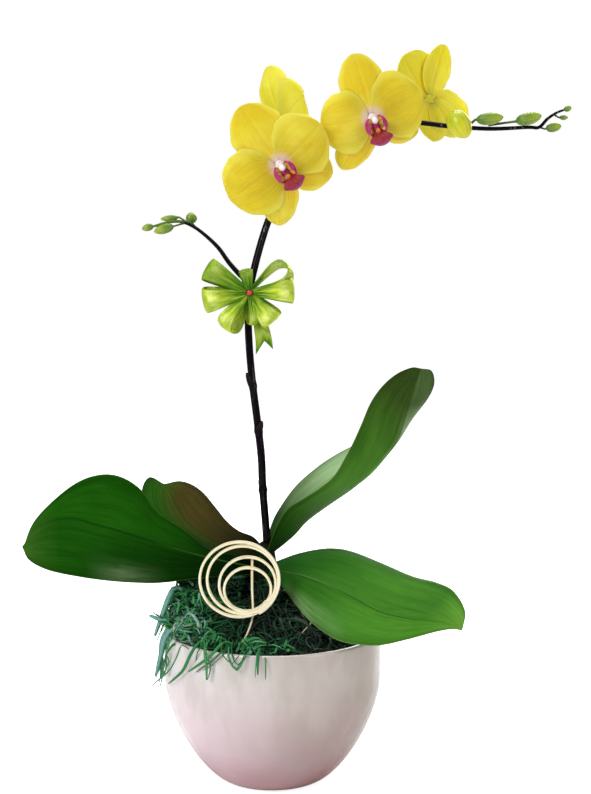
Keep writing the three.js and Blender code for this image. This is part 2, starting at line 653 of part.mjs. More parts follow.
/** The front lobe of the lip: narrow at the throat, broad shoulders and a blunt tip. */
function frontLobe() {
  const spine = curveThrough([[0, -4.5, 6], [0, -10, 9], [0, -15.5, 10], [0, -20.5, 8.6], [0, -24.5, 5.5]]);
  const halves = [[0, 2.2], [0.25, 2.2], [0.55, 8.2], [0.8, 5], [1, 0]];
  const surface = (u, v) => {
    const half = readTable(halves, u);
    return spine.getPointAt(u).add(point(half * v, 0, -2.6 * v ** 2 * (half / 8)));
  };
  return sheetSolid(surface, { rows: 5, columns: 2, thickness: () => 1 });
}

/** The lip: front lobe, two side lobes and the callus between them, clear of the hub and column. */
function bloomLip(hub) {
  const throat = ellipsoid([0, -5, 5], [3, 3.4, 2.6], 6, 4);
  const callus = ellipsoid([0, -8.6, 9.4], [1.7, 2.2, 1.9], 6, 4);
  const lip = join([throat, callus, sideLobe(1), sideLobe(-1), frontLobe()]);
  return largestBody(lip.subtract(hub).subtract(bloomColumn(GAP)));
}

/** The stalk of a bloom: out of the spike, past a point on the way if it has one, up to the hub. */
function bloomStalk(bloom) {
  const place = bloomPlace(bloom);
  const behind = (distance) => point(0, 0, -distance).applyMatrix4(place).toArray();
  const between = bloom.via ? [bloom.via] : [];
  return stalk([bloom.from, ...between, behind(13), behind(HUB_RADIUS + GAP)], 1.5, 4 + between.length);
}

// ---------------------------------------------------------------- bow and cane

// Loops of the bow: the way each points (degrees from +X towards +Z), its length, its greatest
// width, how far it opens, how it is tilted about its own length and how far it leans forward.
const BOW_LOOPS = [
  { angle: 148, length: 35, width: 18, open: 11, tilt: 12, lean: 4 },
  { angle: 190, length: 33, width: 18, open: 12, tilt: -8, lean: 0 },
  { angle: 236, length: 31, width: 15, open: 12, tilt: 38, lean: 5 },
  { angle: 277, length: 23, width: 8, open: 7, tilt: -20, lean: 7 },
  { angle: 307, length: 30, width: 19, open: 11, tilt: 8, lean: 4 },
  { angle: 2, length: 31, width: 18, open: 12, tilt: -6, lean: 2 },
  { angle: 36, length: 36, width: 12, open: 16, tilt: 72, lean: 0 },
  { angle: 100, length: 17, width: 10, open: 7, tilt: 10, lean: 3 },
];

/** One loop of ribbon, out from the knot in front and back behind. */
function bowLoop({ angle, length, width, open, tilt, lean }) {
  const out = point(Math.cos(degrees(angle)), 0, Math.sin(degrees(angle)));
  const plainSide = point(-out.z, 0, out.x);
  const front = point(0, -1, 0);
  const turn = degrees(tilt);
  const side = plainSide.clone().multiplyScalar(Math.cos(turn)).addScaledVector(front, Math.sin(turn));
  const rise = out.clone().cross(side);
  if (rise.dot(front) < 0) rise.negate();
  const surface = (u, v) => {
    const reach = 2.5 + (length - 2.5) * Math.sin(Math.PI * u) ** 0.75;
    const half = 2 + (width / 2 - 2) * Math.sin(Math.PI * u) ** 0.6;
    const opening = 1.3 * (1 - 2 * u) + (open / 2) * Math.sin(2 * Math.PI * u);
    return BOW_CENTRE.clone()
      .addScaledVector(out, reach - 1.6 * v ** 2 * Math.sin(Math.PI * u))
      .addScaledVector(side, half * v)
      .addScaledVector(rise, opening)
      .addScaledVector(front, lean * Math.sin(Math.PI * u));
  };
  return sheetSolid(surface, { rows: 8, columns: 1, thickness: () => RIBBON_THICKNESS, tip: false });
}

/** The hanging end of the ribbon, cut to a swallow tail. */
function bowTail() {
  const spine = curveThrough([[-15, -3, 356], [-11, -6, 347], [-8, -7, 336], [-6, -6, 326], [-5.5, -5, 318]]);
  const surface = (u, v) => {
    const notch = 7 * (1 - Math.abs(v)) * Math.max(u - 0.55, 0) / 0.45;
    const lower = 4 * Math.max(-v, 0) * Math.max(u - 0.55, 0) / 0.45;
    return spine.getPointAt(u).add(point(lerp(3, 5.6, u) * v, 0.8 * v, notch - lower));
  };
  return sheetSolid(surface, { rows: 4, columns: 4, thickness: () => RIBBON_THICKNESS, tip: false });
}

/** The bow: loops and tail sunk in a knot, and a band round the spike, which it stays clear of. */
function ribbonBow(spike) {
  const knot = ellipsoid(BOW_CENTRE.toArray(), Array(3).fill(KNOT_RADIUS), 8, 6);
  const ring = [[3.2, -3.5], [4.6, -3.5], [4.6, 3.5], [3.2, 3.5], [3.2, -3.5]];
  const band = turned(ring, 12).translate([-16, 2, 357.5]);
  return largestBody(join([knot, band, bowTail(), ...BOW_LOOPS.map(bowLoop)]).subtract(spike));
}

/** The bead on the knot. */
const bowBead = () => {
  const radius = 1.9;
  const y = BOW_CENTRE.y - KNOT_RADIUS - GAP - radius;
  return ellipsoid([BOW_CENTRE.x, y, BOW_CENTRE.z], Array(3).fill(radius), 8, 5);
};

// Flat cane: circles that get smaller turn by turn and all touch near the lowest point.
const CANE_RADII = [[0, 28.7], [0.25, 27.6], [0.5, 24], [0.75, 19.5], [1, 16.5]];
const CANE_TURNS = 3.8;
const CANE_WIDTH = 2.6;
const CANE_THICKNESS = 1.5;
const CANE_TURN_STEP = 1.9;
const CANE_TOUCH = [-14, -51, 132];
const CANE_LEAN = 0.3;

/** Middle line of the coil at a share of its length. */
class CaneSpiral extends THREE.Curve {
  getPoint(t, target = new THREE.Vector3()) {
    const angle = degrees(-60) + 2 * Math.PI * CANE_TURNS * t;
    const radius = readTable(CANE_RADII, t);
    const toCentre = degrees(112);
    const rise = 0.95 * radius * (Math.sin(toCentre) + Math.sin(angle));
    return target.set(
      CANE_TOUCH[0] + radius * (Math.cos(toCentre) + Math.cos(angle)),
      CANE_TOUCH[1] + CANE_LEAN * rise + CANE_TURN_STEP * CANE_TURNS * t,
      CANE_TOUCH[2] + rise,
    );
  }
}

const CANE_PICK = [
  [-14, -32.5, 170], [-14, -38, 151], [-13.5, -43.7, 132], [-17, -54, 119], [-22, -62, 108], [-26, -67, 97],
];

/** The coil and the pick that carries it, from its top down into the moss, as one piece. */
function caneCoil(extra = 0) {
  const strip = flatSection(CANE_WIDTH + 2 * extra, CANE_THICKNESS + 2 * extra);
  const coil = sweepSolid(new CaneSpiral(), () => strip, 62);
  const pick = sweepSolid(curveThrough(CANE_PICK), () => roundSection(0.9 + extra, 5), 8);
  return coil.add(pick);
}

// ---------------------------------------------------------------- assembly

const orchid = new THREE.Group();

/** Adds a piece to the orchid, or to a group of it, as a named mesh with its own material. */
function place(name, solid, { colour, roughness, metalness = 0 }, group = orchid) {
  const material = new THREE.MeshStandardMaterial({ color: colour, roughness, metalness });
  const mesh = new THREE.Mesh(toGeometry(solid), material);
  mesh.name = name;
  group.add(mesh);
}

/** Trims the leaves where they meet the crown and each other, in the order of the list. */
function fittedLeaves(wideCrown) {
  const placed = [];
  let taken = wideCrown;
  for (const [name, leaf] of Object.entries(LEAVES)) {
    placed.push([name, largestBody(leafBlade(leaf).subtract(taken)), leaf.colour]);
    taken = taken.add(leafBlade(leaf, GAP));
  }
  return { placed, taken };
}

/** Puts the three pieces of a bloom in a group at its place. */
function placeBloom(name, bloom, column, lip) {
  const group = new THREE.Group();
  group.applyMatrix4(bloomPlace(bloom));
  place(`${name}_tepals`, bloomTepals(bloom), { colour: 0xe3cf2c, roughness: 0.55 }, group);
  place(`${name}_column`, column, { colour: 0xf6eef2, roughness: 0.5 }, group);
  place(`${name}_lip`, lip, { colour: 0xb01a52, roughness: 0.5 }, group);
  orchid.add(group);
}

const wideCrown = crown(GAP);
const wideCane = caneCoil(GAP);
const { placed: leaves, taken: leafSpace } = fittedLeaves(wideCrown);
const stalks = [...Object.values(BUDS).map(budStalk), ...Object.values(BLOOMS).map(bloomStalk)];
const spike = flowerSpike(stalks);
const bowl = pot();

place('pot', bowl, { colour: 0xf3f0f0, roughness: 0.15 });
const trimmedMix = pottingMix().subtract(wideCrown).subtract(wideCane);
place('potting_mix', trimmedMix, { colour: 0x4a3020, roughness: 0.95 });
const moss = shreddedMoss(join([leafSpace, wideCane, bowl]), 40);
const trimmedMoss = largestBody(moss.subtract(wideCrown).subtract(wideCane));
place('shredded_moss', trimmedMoss, { colour: 0x23643c, roughness: 0.8 });
place('crown', crown(), { colour: 0x4e7a2c, roughness: 0.6 });
for (const [name, solid, colour] of leaves) place(name, solid, { colour, roughness: 0.45 });
place('flower_spike', spike, { colour: 0x1b0b1e, roughness: 0.4 });
for (const [name, shape] of Object.entries(BUDS)) {
  place(name, bud(shape), { colour: 0xa9c23a, roughness: 0.5 });
}

const wideHub = ellipsoid([0, 0, 0], Array(3).fill(HUB_RADIUS + GAP), 6, 4);
const column = largestBody(bloomColumn().subtract(wideHub));
const lip = bloomLip(wideHub);
for (const [name, bloom] of Object.entries(BLOOMS)) placeBloom(name, bloom, column, lip);

place('ribbon_bow', ribbonBow(spike), { colour: 0x9ac832, roughness: 0.35 });
place('bow_bead', bowBead(), { colour: 0xd42a50, roughness: 0.2 });
place('cane_coil', caneCoil(), { colour: 0xe9cf93, roughness: 0.6 });

export default orchid;
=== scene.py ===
"""Looks of a potted moth orchid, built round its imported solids.

The bowl, the moss, the leaves, the flower spike with its buds, the blooms, the ribbon bow and the
coil of cane each have a class. Shapes are worked out in millimetres, in the frame of the solids,
and become metres when they are put into a mesh.
"""

from __future__ import annotations

import logging
import math
from collections.abc import Sequence
from dataclasses import dataclass, field, replace
from enum import Enum
from functools import cached_property

import bmesh
import bpy
import numpy as np
from numpy.typing import ArrayLike, NDArray
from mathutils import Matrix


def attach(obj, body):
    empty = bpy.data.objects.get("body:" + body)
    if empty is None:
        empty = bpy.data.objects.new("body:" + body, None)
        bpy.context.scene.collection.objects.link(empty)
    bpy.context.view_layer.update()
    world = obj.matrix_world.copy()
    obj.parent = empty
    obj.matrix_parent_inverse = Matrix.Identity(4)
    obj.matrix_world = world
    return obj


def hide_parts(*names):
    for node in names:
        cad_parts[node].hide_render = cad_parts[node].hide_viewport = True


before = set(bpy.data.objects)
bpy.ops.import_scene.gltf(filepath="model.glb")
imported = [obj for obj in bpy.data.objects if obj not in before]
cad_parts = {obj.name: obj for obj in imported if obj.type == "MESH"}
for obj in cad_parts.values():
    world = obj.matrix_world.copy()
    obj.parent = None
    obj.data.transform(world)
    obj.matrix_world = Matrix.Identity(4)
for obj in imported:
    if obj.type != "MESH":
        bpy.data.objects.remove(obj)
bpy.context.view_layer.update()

Array = NDArray[np.float64]
Colour = tuple[float, float, float, float]
Point = tuple[float, float, float]
Rail = tuple[Point, ...]
Span = tuple[float, float]
Material = bpy.types.Material
log = logging.getLogger("potted_orchid")

MM = 0.001
BODY = "root"
FULL_TURN = 2 * math.pi


# ---------------------------------------------------------------- curves and skins


def unit(vectors: Array) -> Array:
    """Vectors divided by their lengths, along the last axis."""
    return vectors / np.maximum(np.linalg.norm(vectors, axis=-1, keepdims=True), 1e-12)


def around(count: int) -> Array:
    """Angles of points spread evenly round a circle."""
    return FULL_TURN * np.arange(count) / count


def circle(angle: Array) -> Array:
    """The cosine and the sine of angles, in an extra last axis."""
    return np.stack([np.cos(angle), np.sin(angle)], axis=-1)


def spline(points: ArrayLike, shares: ArrayLike) -> Array:
    """Places on a smooth curve at shares of its length.

    Between two knots the curve is the cubic whose end slopes are half the step between the knots
    before and after (Catmull-Rom), sampled densely and read off by its running length.

    Args:
        points: The knots, one row each.
        shares: Shares of the length, from 0 to 1.

    Returns:
        One place for each share.
    """
    knots = np.asarray(points, float)
    padded = np.vstack([2 * knots[0] - knots[1], knots, 2 * knots[-1] - knots[-2]])
    t = np.linspace(0, len(knots) - 1, 60 * (len(knots) - 1) + 1)
    k = np.minimum(t.astype(int), len(knots) - 2)
    w = (t - k)[:, None]
    before, start, end, after = (padded[k + i] for i in range(4))
    dense = (2 * w**3 - 3 * w**2 + 1) * start + (w**3 - 2 * w**2 + w) * (end - before) / 2
    dense += (3 * w**2 - 2 * w**3) * end + (w**3 - w**2) * (after - start) / 2
    steps = np.linalg.norm(np.diff(dense, axis=0), axis=1)
    run = np.concatenate([[0.0], np.cumsum(steps)]) / steps.sum()
    return np.stack([np.interp(shares, run, dense[:, i]) for i in range(3)], axis=-1)


@dataclass
class Skin:
    """A closed surface.

    Attributes:
        points: One row of x, y, z for each point, in millimetres.
        quads: Four point numbers for each face.
        uv: The U and V of each face's corners.
        tone: One value for each point, which the materials read as "tone".
        caps: Faces with any number of corners, as lists of point numbers.
    """

    points: Array
    quads: NDArray[np.int64]
    uv: Array
    tone: Array
    caps: list[list[int]] = field(default_factory=list)

    def moved(self, matrix: Array) -> Skin:
        """The skin with its points turned and moved by a 4 by 4 matrix."""
        return replace(self, points=self.points @ matrix[:3, :3].T + matrix[:3, 3])


def joined(skins: Sequence[Skin]) -> Skin:
    """Several skins as one, with their point numbers shifted.

    Args:
        skins: The skins, in the order that their points keep.

    Returns:
        One skin that holds them all.
    """
    starts = np.cumsum([0, *(len(skin.points) for skin in skins)])
    return Skin(
        np.vstack([skin.points for skin in skins]),
        np.vstack([skin.quads + start for skin, start in zip(skins, starts)]),
        np.vstack([skin.uv for skin in skins]),
        np.concatenate([skin.tone for skin in skins]),
        [[int(i + start) for i in cap] for skin, start in zip(skins, starts) for cap in skin.caps],
    )


def grid_faces(rows: int, columns: int, wrap: bool) -> tuple[NDArray[np.int64], Array]:
    """Faces of a grid of points and their UV corners: U along the rows, V along the columns.

    Args:
        rows: The number of rows of points.
        columns: The number of points in a row.
        wrap: Whether the last column joins the first.

    Returns:
        The point numbers and the UV corners of each face.
    """
    across = columns if wrap else columns - 1
    i, j = np.meshgrid(np.arange(rows - 1), np.arange(across), indexing="ij")
    corners = [(i, j), (i + 1, j), (i + 1, j + 1), (i, j + 1)]
    quads = np.stack([a * columns + b % columns for a, b in corners], axis=-1)
    uv = np.stack([np.stack([a / (rows - 1), b / across], axis=-1) for a, b in corners], axis=-2)
    return quads.reshape(-1, 4), uv.reshape(-1, 4, 2)


def tube_skin(rings: Array) -> Skin:
    """Closes rings of points, by ring, by place round it, by coordinate, with a face at each end.

    Args:
        rings: Points by ring, by place round it, by coordinate.

    Returns:
        The closed tube.
    """
    rows, sides, _ = rings.shape
    last = (rows - 1) * sides
    caps = [list(range(sides)), list(range(last, last + sides))]
    return Skin(rings.reshape(-1, 3), *grid_faces(rows, sides, wrap=True), np.zeros(rows * sides), caps)


def sheet_skin(middle: Array, thickness: ArrayLike, tone: float = 0.0) -> Skin:
    """Gives a sheet its thickness and closes its rim.

    Each point moves half the thickness up and down along the cross product of the sheet's slopes
    along and across.

    Args:
        middle: Points of the sheet's middle by row, by column, by coordinate.
        thickness: The thickness everywhere, or by column.
        tone: The tone of all its points.

    Returns:
        The closed sheet.
    """
    rows, columns, _ = middle.shape
    normal = unit(np.cross(np.gradient(middle, axis=0), np.gradient(middle, axis=1)))
    lift = normal * np.broadcast_to(np.asarray(thickness, float), (rows, columns))[..., None] / 2
    points = np.vstack([(middle + lift).reshape(-1, 3), (middle - lift).reshape(-1, 3)])
    top, uv = grid_faces(rows, columns, wrap=False)
    under = rows * columns
    number = np.arange(under).reshape(rows, columns)
    loop = np.concatenate([number[:, 0], number[-1, 1:], number[-2::-1, -1], number[0, -2:0:-1]])
    ahead = np.roll(loop, -1)
    rim = np.stack([loop, ahead, ahead + under, loop + under], axis=-1)
    place = np.stack([loop // columns / (rows - 1), loop % columns / (columns - 1)], axis=-1)
    place_ahead = np.roll(place, -1, axis=0)
    rim_uv = np.stack([place, place_ahead, place_ahead, place], axis=1)
    quads = np.vstack([top, top[:, ::-1] + under, rim])
    return Skin(points, quads, np.vstack([uv, uv[:, ::-1], rim_uv]), np.full(len(points), tone))


def swept(path: Array, section: Array, side_hint: ArrayLike) -> Skin:
    """A tube that carries a section along a path.

    The first section axis is the cross product of the path's direction and the hint, the second
    is square to both.

    Args:
        path: Places along the path, one row each.
        section: Offsets by ring, by point, on the two section axes.
        side_hint: A direction that the path never takes, the same all along or one for each place.

    Returns:
        The closed tube.
    """
    ahead = unit(np.gradient(path, axis=0))
    side = unit(np.cross(ahead, np.broadcast_to(np.asarray(side_hint, float), path.shape)))
    lift = np.cross(side, ahead)
    return tube_skin(path[:, None] + section[..., :1] * side[:, None] + section[..., 1:] * lift[:, None])


def rod(
    path: Array, radii: Array, sides: int, hint: Point,
    ridge: float = 0.0, ridges: int = 0, twist: float = 0.0,
) -> Skin:
    """A tube of round section with ridges.

    The radius is multiplied by 1 plus the ridge height times the cosine of the angle times the
    number of ridges, shifted by a twist that grows along the path.

    Args:
        path: Places along the path, one row each.
        radii: One radius for each place.
        sides: Points in a ring.
        hint: A direction that the path never takes.
        ridge: Height of the ridges as a share of the radius.
        ridges: Number of ridges.
        twist: How far the ridges turn from the first ring to the last, in radians.

    Returns:
        The closed tube.
    """
    angle = around(sides)
    shift = twist * np.linspace(0, 1, len(radii))[:, None]
    radius = radii[:, None] * (1 + ridge * np.cos(ridges * angle + shift))
    return swept(path, radius[..., None] * circle(angle), hint)


def turned(profile: ArrayLike, segments: int) -> Skin:
    """A skin turned round the vertical axis from rows of radius and height, closed at both ends.

    Args:
        profile: Rows of radius and height.
        segments: Points in a ring.

    Returns:
        The closed skin.
    """
    radius, height = np.asarray(profile, float).T[..., None, None]
    flat = radius * circle(around(segments))
    return tube_skin(np.concatenate([flat, height + 0 * flat[..., :1]], axis=-1))


def ball(radius: float, rings: int, segments: int, gap: float = 0.04) -> Skin:
    """A ball with a small flat at each pole, whose reach from the axis is the gap's angle."""
    angle = np.linspace(gap, math.pi - gap, rings)
    return turned(radius * np.stack([np.sin(angle), -np.cos(angle)], axis=-1), segments)


def smooth_noise(places: Array, seed: int) -> Array:
    """A gentle noise between about -1 and 1: a mean of five sine waves in drawn directions.

    Args:
        places: Places by any axes, by coordinate, with about one bump for each unit of length.
        seed: The seed of the draws.

    Returns:
        One value for each place.
    """
    draw = np.random.default_rng(seed)
    directions = draw.normal(size=(5, places.shape[-1])) * 2.4
    return np.sin(places @ directions.T + draw.uniform(0, FULL_TURN, 5)).mean(axis=-1) * 1.6


# ---------------------------------------------------------------- materials


def srgb(red: float, green: float, blue: float) -> Colour:
    """A screen colour with channels from 0 to 255 as the linear colour that shaders take.

    Args:
        red: The red channel.
        green: The green channel.
        blue: The blue channel.

    Returns:
        The linear channels and an alpha of 1.
    """
    channels = np.array([red, green, blue]) / 255
    linear = np.where(channels <= 0.04045, channels / 12.92, ((channels + 0.055) / 1.055) ** 2.4)
    return (*map(float, linear), 1.0)


@dataclass
class Field:
    """What a node puts out over a surface. Fields and numbers add up, multiply and so on."""

    layout: Layout
    socket: bpy.types.NodeSocket

    def __add__(self, other: Field | float) -> Field:
        """The sum."""
        return self.layout.math("ADD", self, other)

    def __sub__(self, other: Field | float) -> Field:
        """The difference."""
        return self.layout.math("SUBTRACT", self, other)

    def __rsub__(self, other: float) -> Field:
        """A number less this."""
        return self.layout.math("SUBTRACT", other, self)

    def __mul__(self, other: Field | float) -> Field:
        """The product."""
        return self.layout.math("MULTIPLY", self, other)

    def __truediv__(self, other: Field | float) -> Field:
        """The quotient."""
        return self.layout.math("DIVIDE", self, other)

    def __abs__(self) -> Field:
        """The size without the sign."""
        return self.layout.math("ABSOLUTE", self)

    def sine(self) -> Field:
        """The sine."""
        return self.layout.math("SINE", self)

    def at_least(self, other: Field | float) -> Field:
        """The larger of the two."""
        return self.layout.math("MAXIMUM", self, other)

    def spread(self, low: float, high: float, start: float = 0, end: float = 1) -> Field:
        """Its way from low to high as a way from start to end, held at both."""
        return self.layout.add("MapRange", {0: self, 1: low, 2: high, 3: start, 4: end})


@dataclass
class Layout:
    """Lays out the nodes of a material, of a world or of a node group."""

    tree: bpy.types.NodeTree

    def feed(self, socket: bpy.types.NodeSocket, value: object) -> None:
        """Links a socket to a field, or sets its value.

        Args:
            socket: The input.
            value: A field or a plain value.
        """
        if isinstance(value, Field):
            self.tree.links.new(value.socket, socket)
        else:
            socket.default_value = value

    def add(
        self, kind: str, inputs: dict | None = None, output: int | str = 0, **settings: object
    ) -> Field:
        """Adds a node.

        Args:
            kind: The node's type name without its "ShaderNode" start.
            inputs: Values or fields for its inputs, by name or number.
            output: The name or number of the output that is wanted.
            **settings: Properties of the node.

        Returns:
            The output.
        """
        node = self.tree.nodes.new("ShaderNode" + kind)
        for name, value in settings.items():
            setattr(node, name, value)
        for key, value in (inputs or {}).items():
            self.feed(node.inputs[key], value)
        return Field(self, node.outputs[output])

    def math(self, operation: str, *values: object) -> Field:
        """The result of a Math node, such as "MULTIPLY"."""
        return self.add("Math", dict(enumerate(values)), operation=operation)

    def mix(self, factor: object, first: object, second: object, blend: str = "MIX") -> Field:
        """Two colours mixed by a factor."""
        return self.add("Mix", {0: factor, 6: first, 7: second}, 2, data_type="RGBA", blend_type=blend)

    def axes(self, vector: Field) -> list[Field]:
        """The three coordinates of a vector."""
        node = self.add("SeparateXYZ", {0: vector}).socket.node
        return [Field(self, socket) for socket in node.outputs]

    def group(self, effect: Effect, **inputs: object) -> Field:
        """The mask of a shared effect, with its inputs fed by name."""
        return self.add("Group", inputs, node_tree=bpy.data.node_groups[effect.value])


class Effect(Enum):
    """Effects that several materials share, each a node group of this name."""

    FIBRE = "fibre_streaks"
    MOTTLE = "soft_mottle"
    VEINS = "branching_veins"


def new_group(effect: Effect, *numbers: str) -> tuple[Layout, dict[str, Field], bpy.types.NodeSocket]:
    """An empty node group with a Vector input, number inputs and a Mask output.

    Args:
        effect: The effect that it holds.
        *numbers: Names of its number inputs.

    Returns:
        Its layout, its inputs by name and the socket that takes the mask.
    """
    tree = bpy.data.node_groups.new(effect.value, "ShaderNodeTree")
    tree.interface.new_socket("Vector", in_out="INPUT", socket_type="NodeSocketVector")
    for name in numbers:
        tree.interface.new_socket(name, in_out="INPUT", socket_type="NodeSocketFloat")
    tree.interface.new_socket("Mask", in_out="OUTPUT", socket_type="NodeSocketFloat")
    layout = Layout(tree)
    given = {socket.name: Field(layout, socket) for socket in tree.nodes.new("NodeGroupInput").outputs}
    return layout, given, tree.nodes.new("NodeGroupOutput").inputs[0]


def build_effects() -> None:
    """Builds the shared node groups once."""
    layout, given, mask = new_group(Effect.FIBRE, "Along", "Across")
    scale = layout.add("CombineXYZ", {0: given["Along"], 1: given["Across"], 2: given["Across"]})
    stretched = layout.add("VectorMath", {0: given["Vector"], 1: scale}, operation="MULTIPLY")
    noise = layout.add("TexNoise", {"Vector": stretched, "Scale": 1.0, "Detail": 4.0, "Roughness": 0.6})
    layout.feed(mask, noise.spread(0.3, 0.7))

    layout, given, mask = new_group(Effect.MOTTLE, "Scale")
    noise = layout.add("TexNoise", {"Vector": given["Vector"], "Scale": given["Scale"], "Detail": 3.0})
    layout.feed(mask, noise.spread(0.32, 0.68))

    layout, given, mask = new_group(Effect.VEINS, "Count", "Width")
    along, across, _ = layout.axes(given["Vector"])
    wander = layout.add("TexNoise", {"Vector": given["Vector"], "Scale": 5.0, "Detail": 2.0})
    waves = (wander * 0.05 + across) * given["Count"]
    fine = abs((waves * 2.0).sine()).at_least(1.0 - along.spread(0.25, 0.7))
    both = layout.math("MINIMUM", abs(waves.sine()), fine)
    layout.feed(mask, (1.0 - both / given["Width"]).at_least(0.0))


class Paint(Layout):
    """A material under construction, round one Principled shader."""

    def __init__(self, name: str, values: dict[str, object]) -> None:
        """Makes the material and sets the values that are the same all over.

        Args:
            name: The material's name.
            values: Values of the shader's inputs, by name.
        """
        self.material = bpy.data.materials.new(name)
        self.material.use_nodes = True
        super().__init__(self.material.node_tree)
        self.inputs = self.tree.nodes["Principled BSDF"].inputs
        for key, value in values.items():
            self.inputs[key].default_value = value

    @cached_property
    def place(self) -> Field:
        """The Object coordinates."""
        return self.add("TexCoord", output="Object")

    @cached_property
    def uv(self) -> Field:
        """The UV coordinates."""
        return self.add("TexCoord", output="UV")

    @cached_property
    def strip(self) -> list[Field]:
        """The share along the piece and the share across it."""
        return self.axes(self.uv)[:2]

    @cached_property
    def tone(self) -> Field:
        """The tone that the mesh carries."""
        return self.add("Attribute", output="Fac", attribute_name="tone")

    def mottle(self, scale: float, vector: Field | None = None) -> Field:
        """Soft patches at a scale, on the Object coordinates unless a vector is given."""
        return self.group(Effect.MOTTLE, Vector=vector or self.place, Scale=scale)

    def fibre(self, along: float, across: float, vector: Field | None = None) -> Field:
        """Streaks with so many along and across, on the UV coordinates unless a vector is given."""
        return self.group(Effect.FIBRE, Vector=vector or self.uv, Along=along, Across=across)

    def veins(self, count: float, width: float) -> Field:
        """Veins that branch as they run along."""
        return self.group(Effect.VEINS, Vector=self.uv, Count=count, Width=width)

    def done(
        self, colour: Field, rough: Field | None, relief: Field, depth: float, strength: float
    ) -> Material:
        """Feeds the shader.

        Args:
            colour: The base colour.
            rough: The roughness, or None where it is the same all over.
            relief: The height of the relief.
            depth: The depth of the relief in metres.
            strength: Its strength.

        Returns:
            The finished material.
        """
        self.feed(self.inputs["Base Color"], colour)
        if rough:
            self.feed(self.inputs["Roughness"], rough)
        bump = self.add("Bump", {"Height": relief, "Distance": depth, "Strength": strength})
        self.feed(self.inputs["Normal"], bump)
        return self.material


@dataclass(frozen=True)
class GlazeFinish:
    """White glaze of the bowl with faint stains; painted shade makes it darker to the right, and painted
    shade with a painted rosy reflection makes it rosy and darker towards the foot.
    """

    top: Colour = srgb(232, 226, 225)
    # The lilac, rose and foot colours are painted shade with a painted rosy reflection low on the bowl.
    lilac: Colour = srgb(240, 206, 220)
    shade_rose: Colour = srgb(124, 62, 58)
    foot: Colour = srgb(172, 100, 88)
    # right: painted shade on the side away from the light.
    right: Colour = srgb(150, 128, 110)
    stain: Colour = srgb(186, 180, 170)
    height: float = 0.112

    def material(self) -> Material:
        """Builds the material.

        Returns:
            The finished material.
        """
        paint = Paint("bowl_glaze", {"Coat Weight": 0.6, "Coat Roughness": 0.08, "Specular IOR Level": 0.5})
        x, _, z = paint.axes(paint.place)
        cloud = paint.mottle(9.0)
        drift = cloud * 0.02 + z
        low = drift.spread(0.0, self.height, 1.0, 0.0)
        upright = paint.add("Mapping", {"Vector": paint.place, "Scale": (1.0, 1.0, 0.45)})
        stains = paint.mottle(38.0, upright)
        # Painted shade: darker to the right, away from the light.
        shaded = x.spread(-0.07, 0.07, 0.0, 0.88) * stains.spread(0.2, 0.8, 0.7, 1.0)
        greyed = stains.spread(0.45, 0.8, 0.0, 0.45) * low.spread(0.75, 0.3)
        upper = paint.mix(greyed, paint.mix(shaded, self.top, self.right), self.stain)
        # Painted shade with a painted rosy reflection: lower down, lilac on the left to dark rose on the
        # right.
        blush = paint.mix(x.spread(-0.05, 0.06), self.lilac, self.shade_rose)
        rosy_shade = paint.mix(low.spread(0.12, 0.8, 0.0, 0.95), upper, blush)
        # Painted shade: salmon at the foot.
        foot_shaded = paint.mix(drift.spread(0.0, 0.046, 0.8, 0.0), rosy_shade, self.foot)
        return paint.done(foot_shaded, paint.mottle(320.0).spread(0, 1, 0.13, 0.2), cloud, 0.0004, 0.35)


@dataclass(frozen=True)
class BarkFinish:
    """Dark chips of the potting mix."""

    dark: Colour = srgb(38, 26, 20)
    pale: Colour = srgb(110, 78, 52)

    def material(self) -> Material:
        """Builds the material.

        Returns:
            The finished material.
        """
        paint = Paint("bark_chips", {"Roughness": 0.9})
        chips = paint.add("TexVoronoi", {"Vector": paint.place, "Scale": 180.0})
        colour = paint.mix(chips * paint.mottle(400.0), self.dark, self.pale)
        return paint.done(colour, None, chips, 0.003, 0.8)


@dataclass(frozen=True)
class MossFinish:
    """Strands of dyed moss, each with its own tone, which picks a colour between the stops."""

    name: str
    dimmed: float = 1.0
    stops: tuple[tuple[float, Colour], ...] = (
        (0.0, srgb(1, 12, 10)), (0.25, srgb(8, 56, 30)), (0.5, srgb(24, 112, 56)),
        (0.75, srgb(74, 160, 92)), (0.95, srgb(122, 172, 168)), (1.0, srgb(206, 196, 150)),
    )

    def material(self) -> Material:
        """Builds the material.

        Returns:
            The finished material.
        """
        paint = Paint(self.name, {"Specular IOR Level": 0.25, "Sheen Weight": 0.05})
        grain = paint.mottle(260.0)
        colour = paint.add("ValToRGB", {0: (grain * 0.08 + paint.tone) * self.dimmed})
        elements = colour.socket.node.color_ramp.elements
        while len(elements) < len(self.stops):
            elements.new(0.5)
        for element, (position, stop) in zip(elements, self.stops):
            element.position, element.color = position, stop
        return paint.done(colour, grain.spread(0, 1, 0.5, 0.75), grain, 0.0005, 0.6)


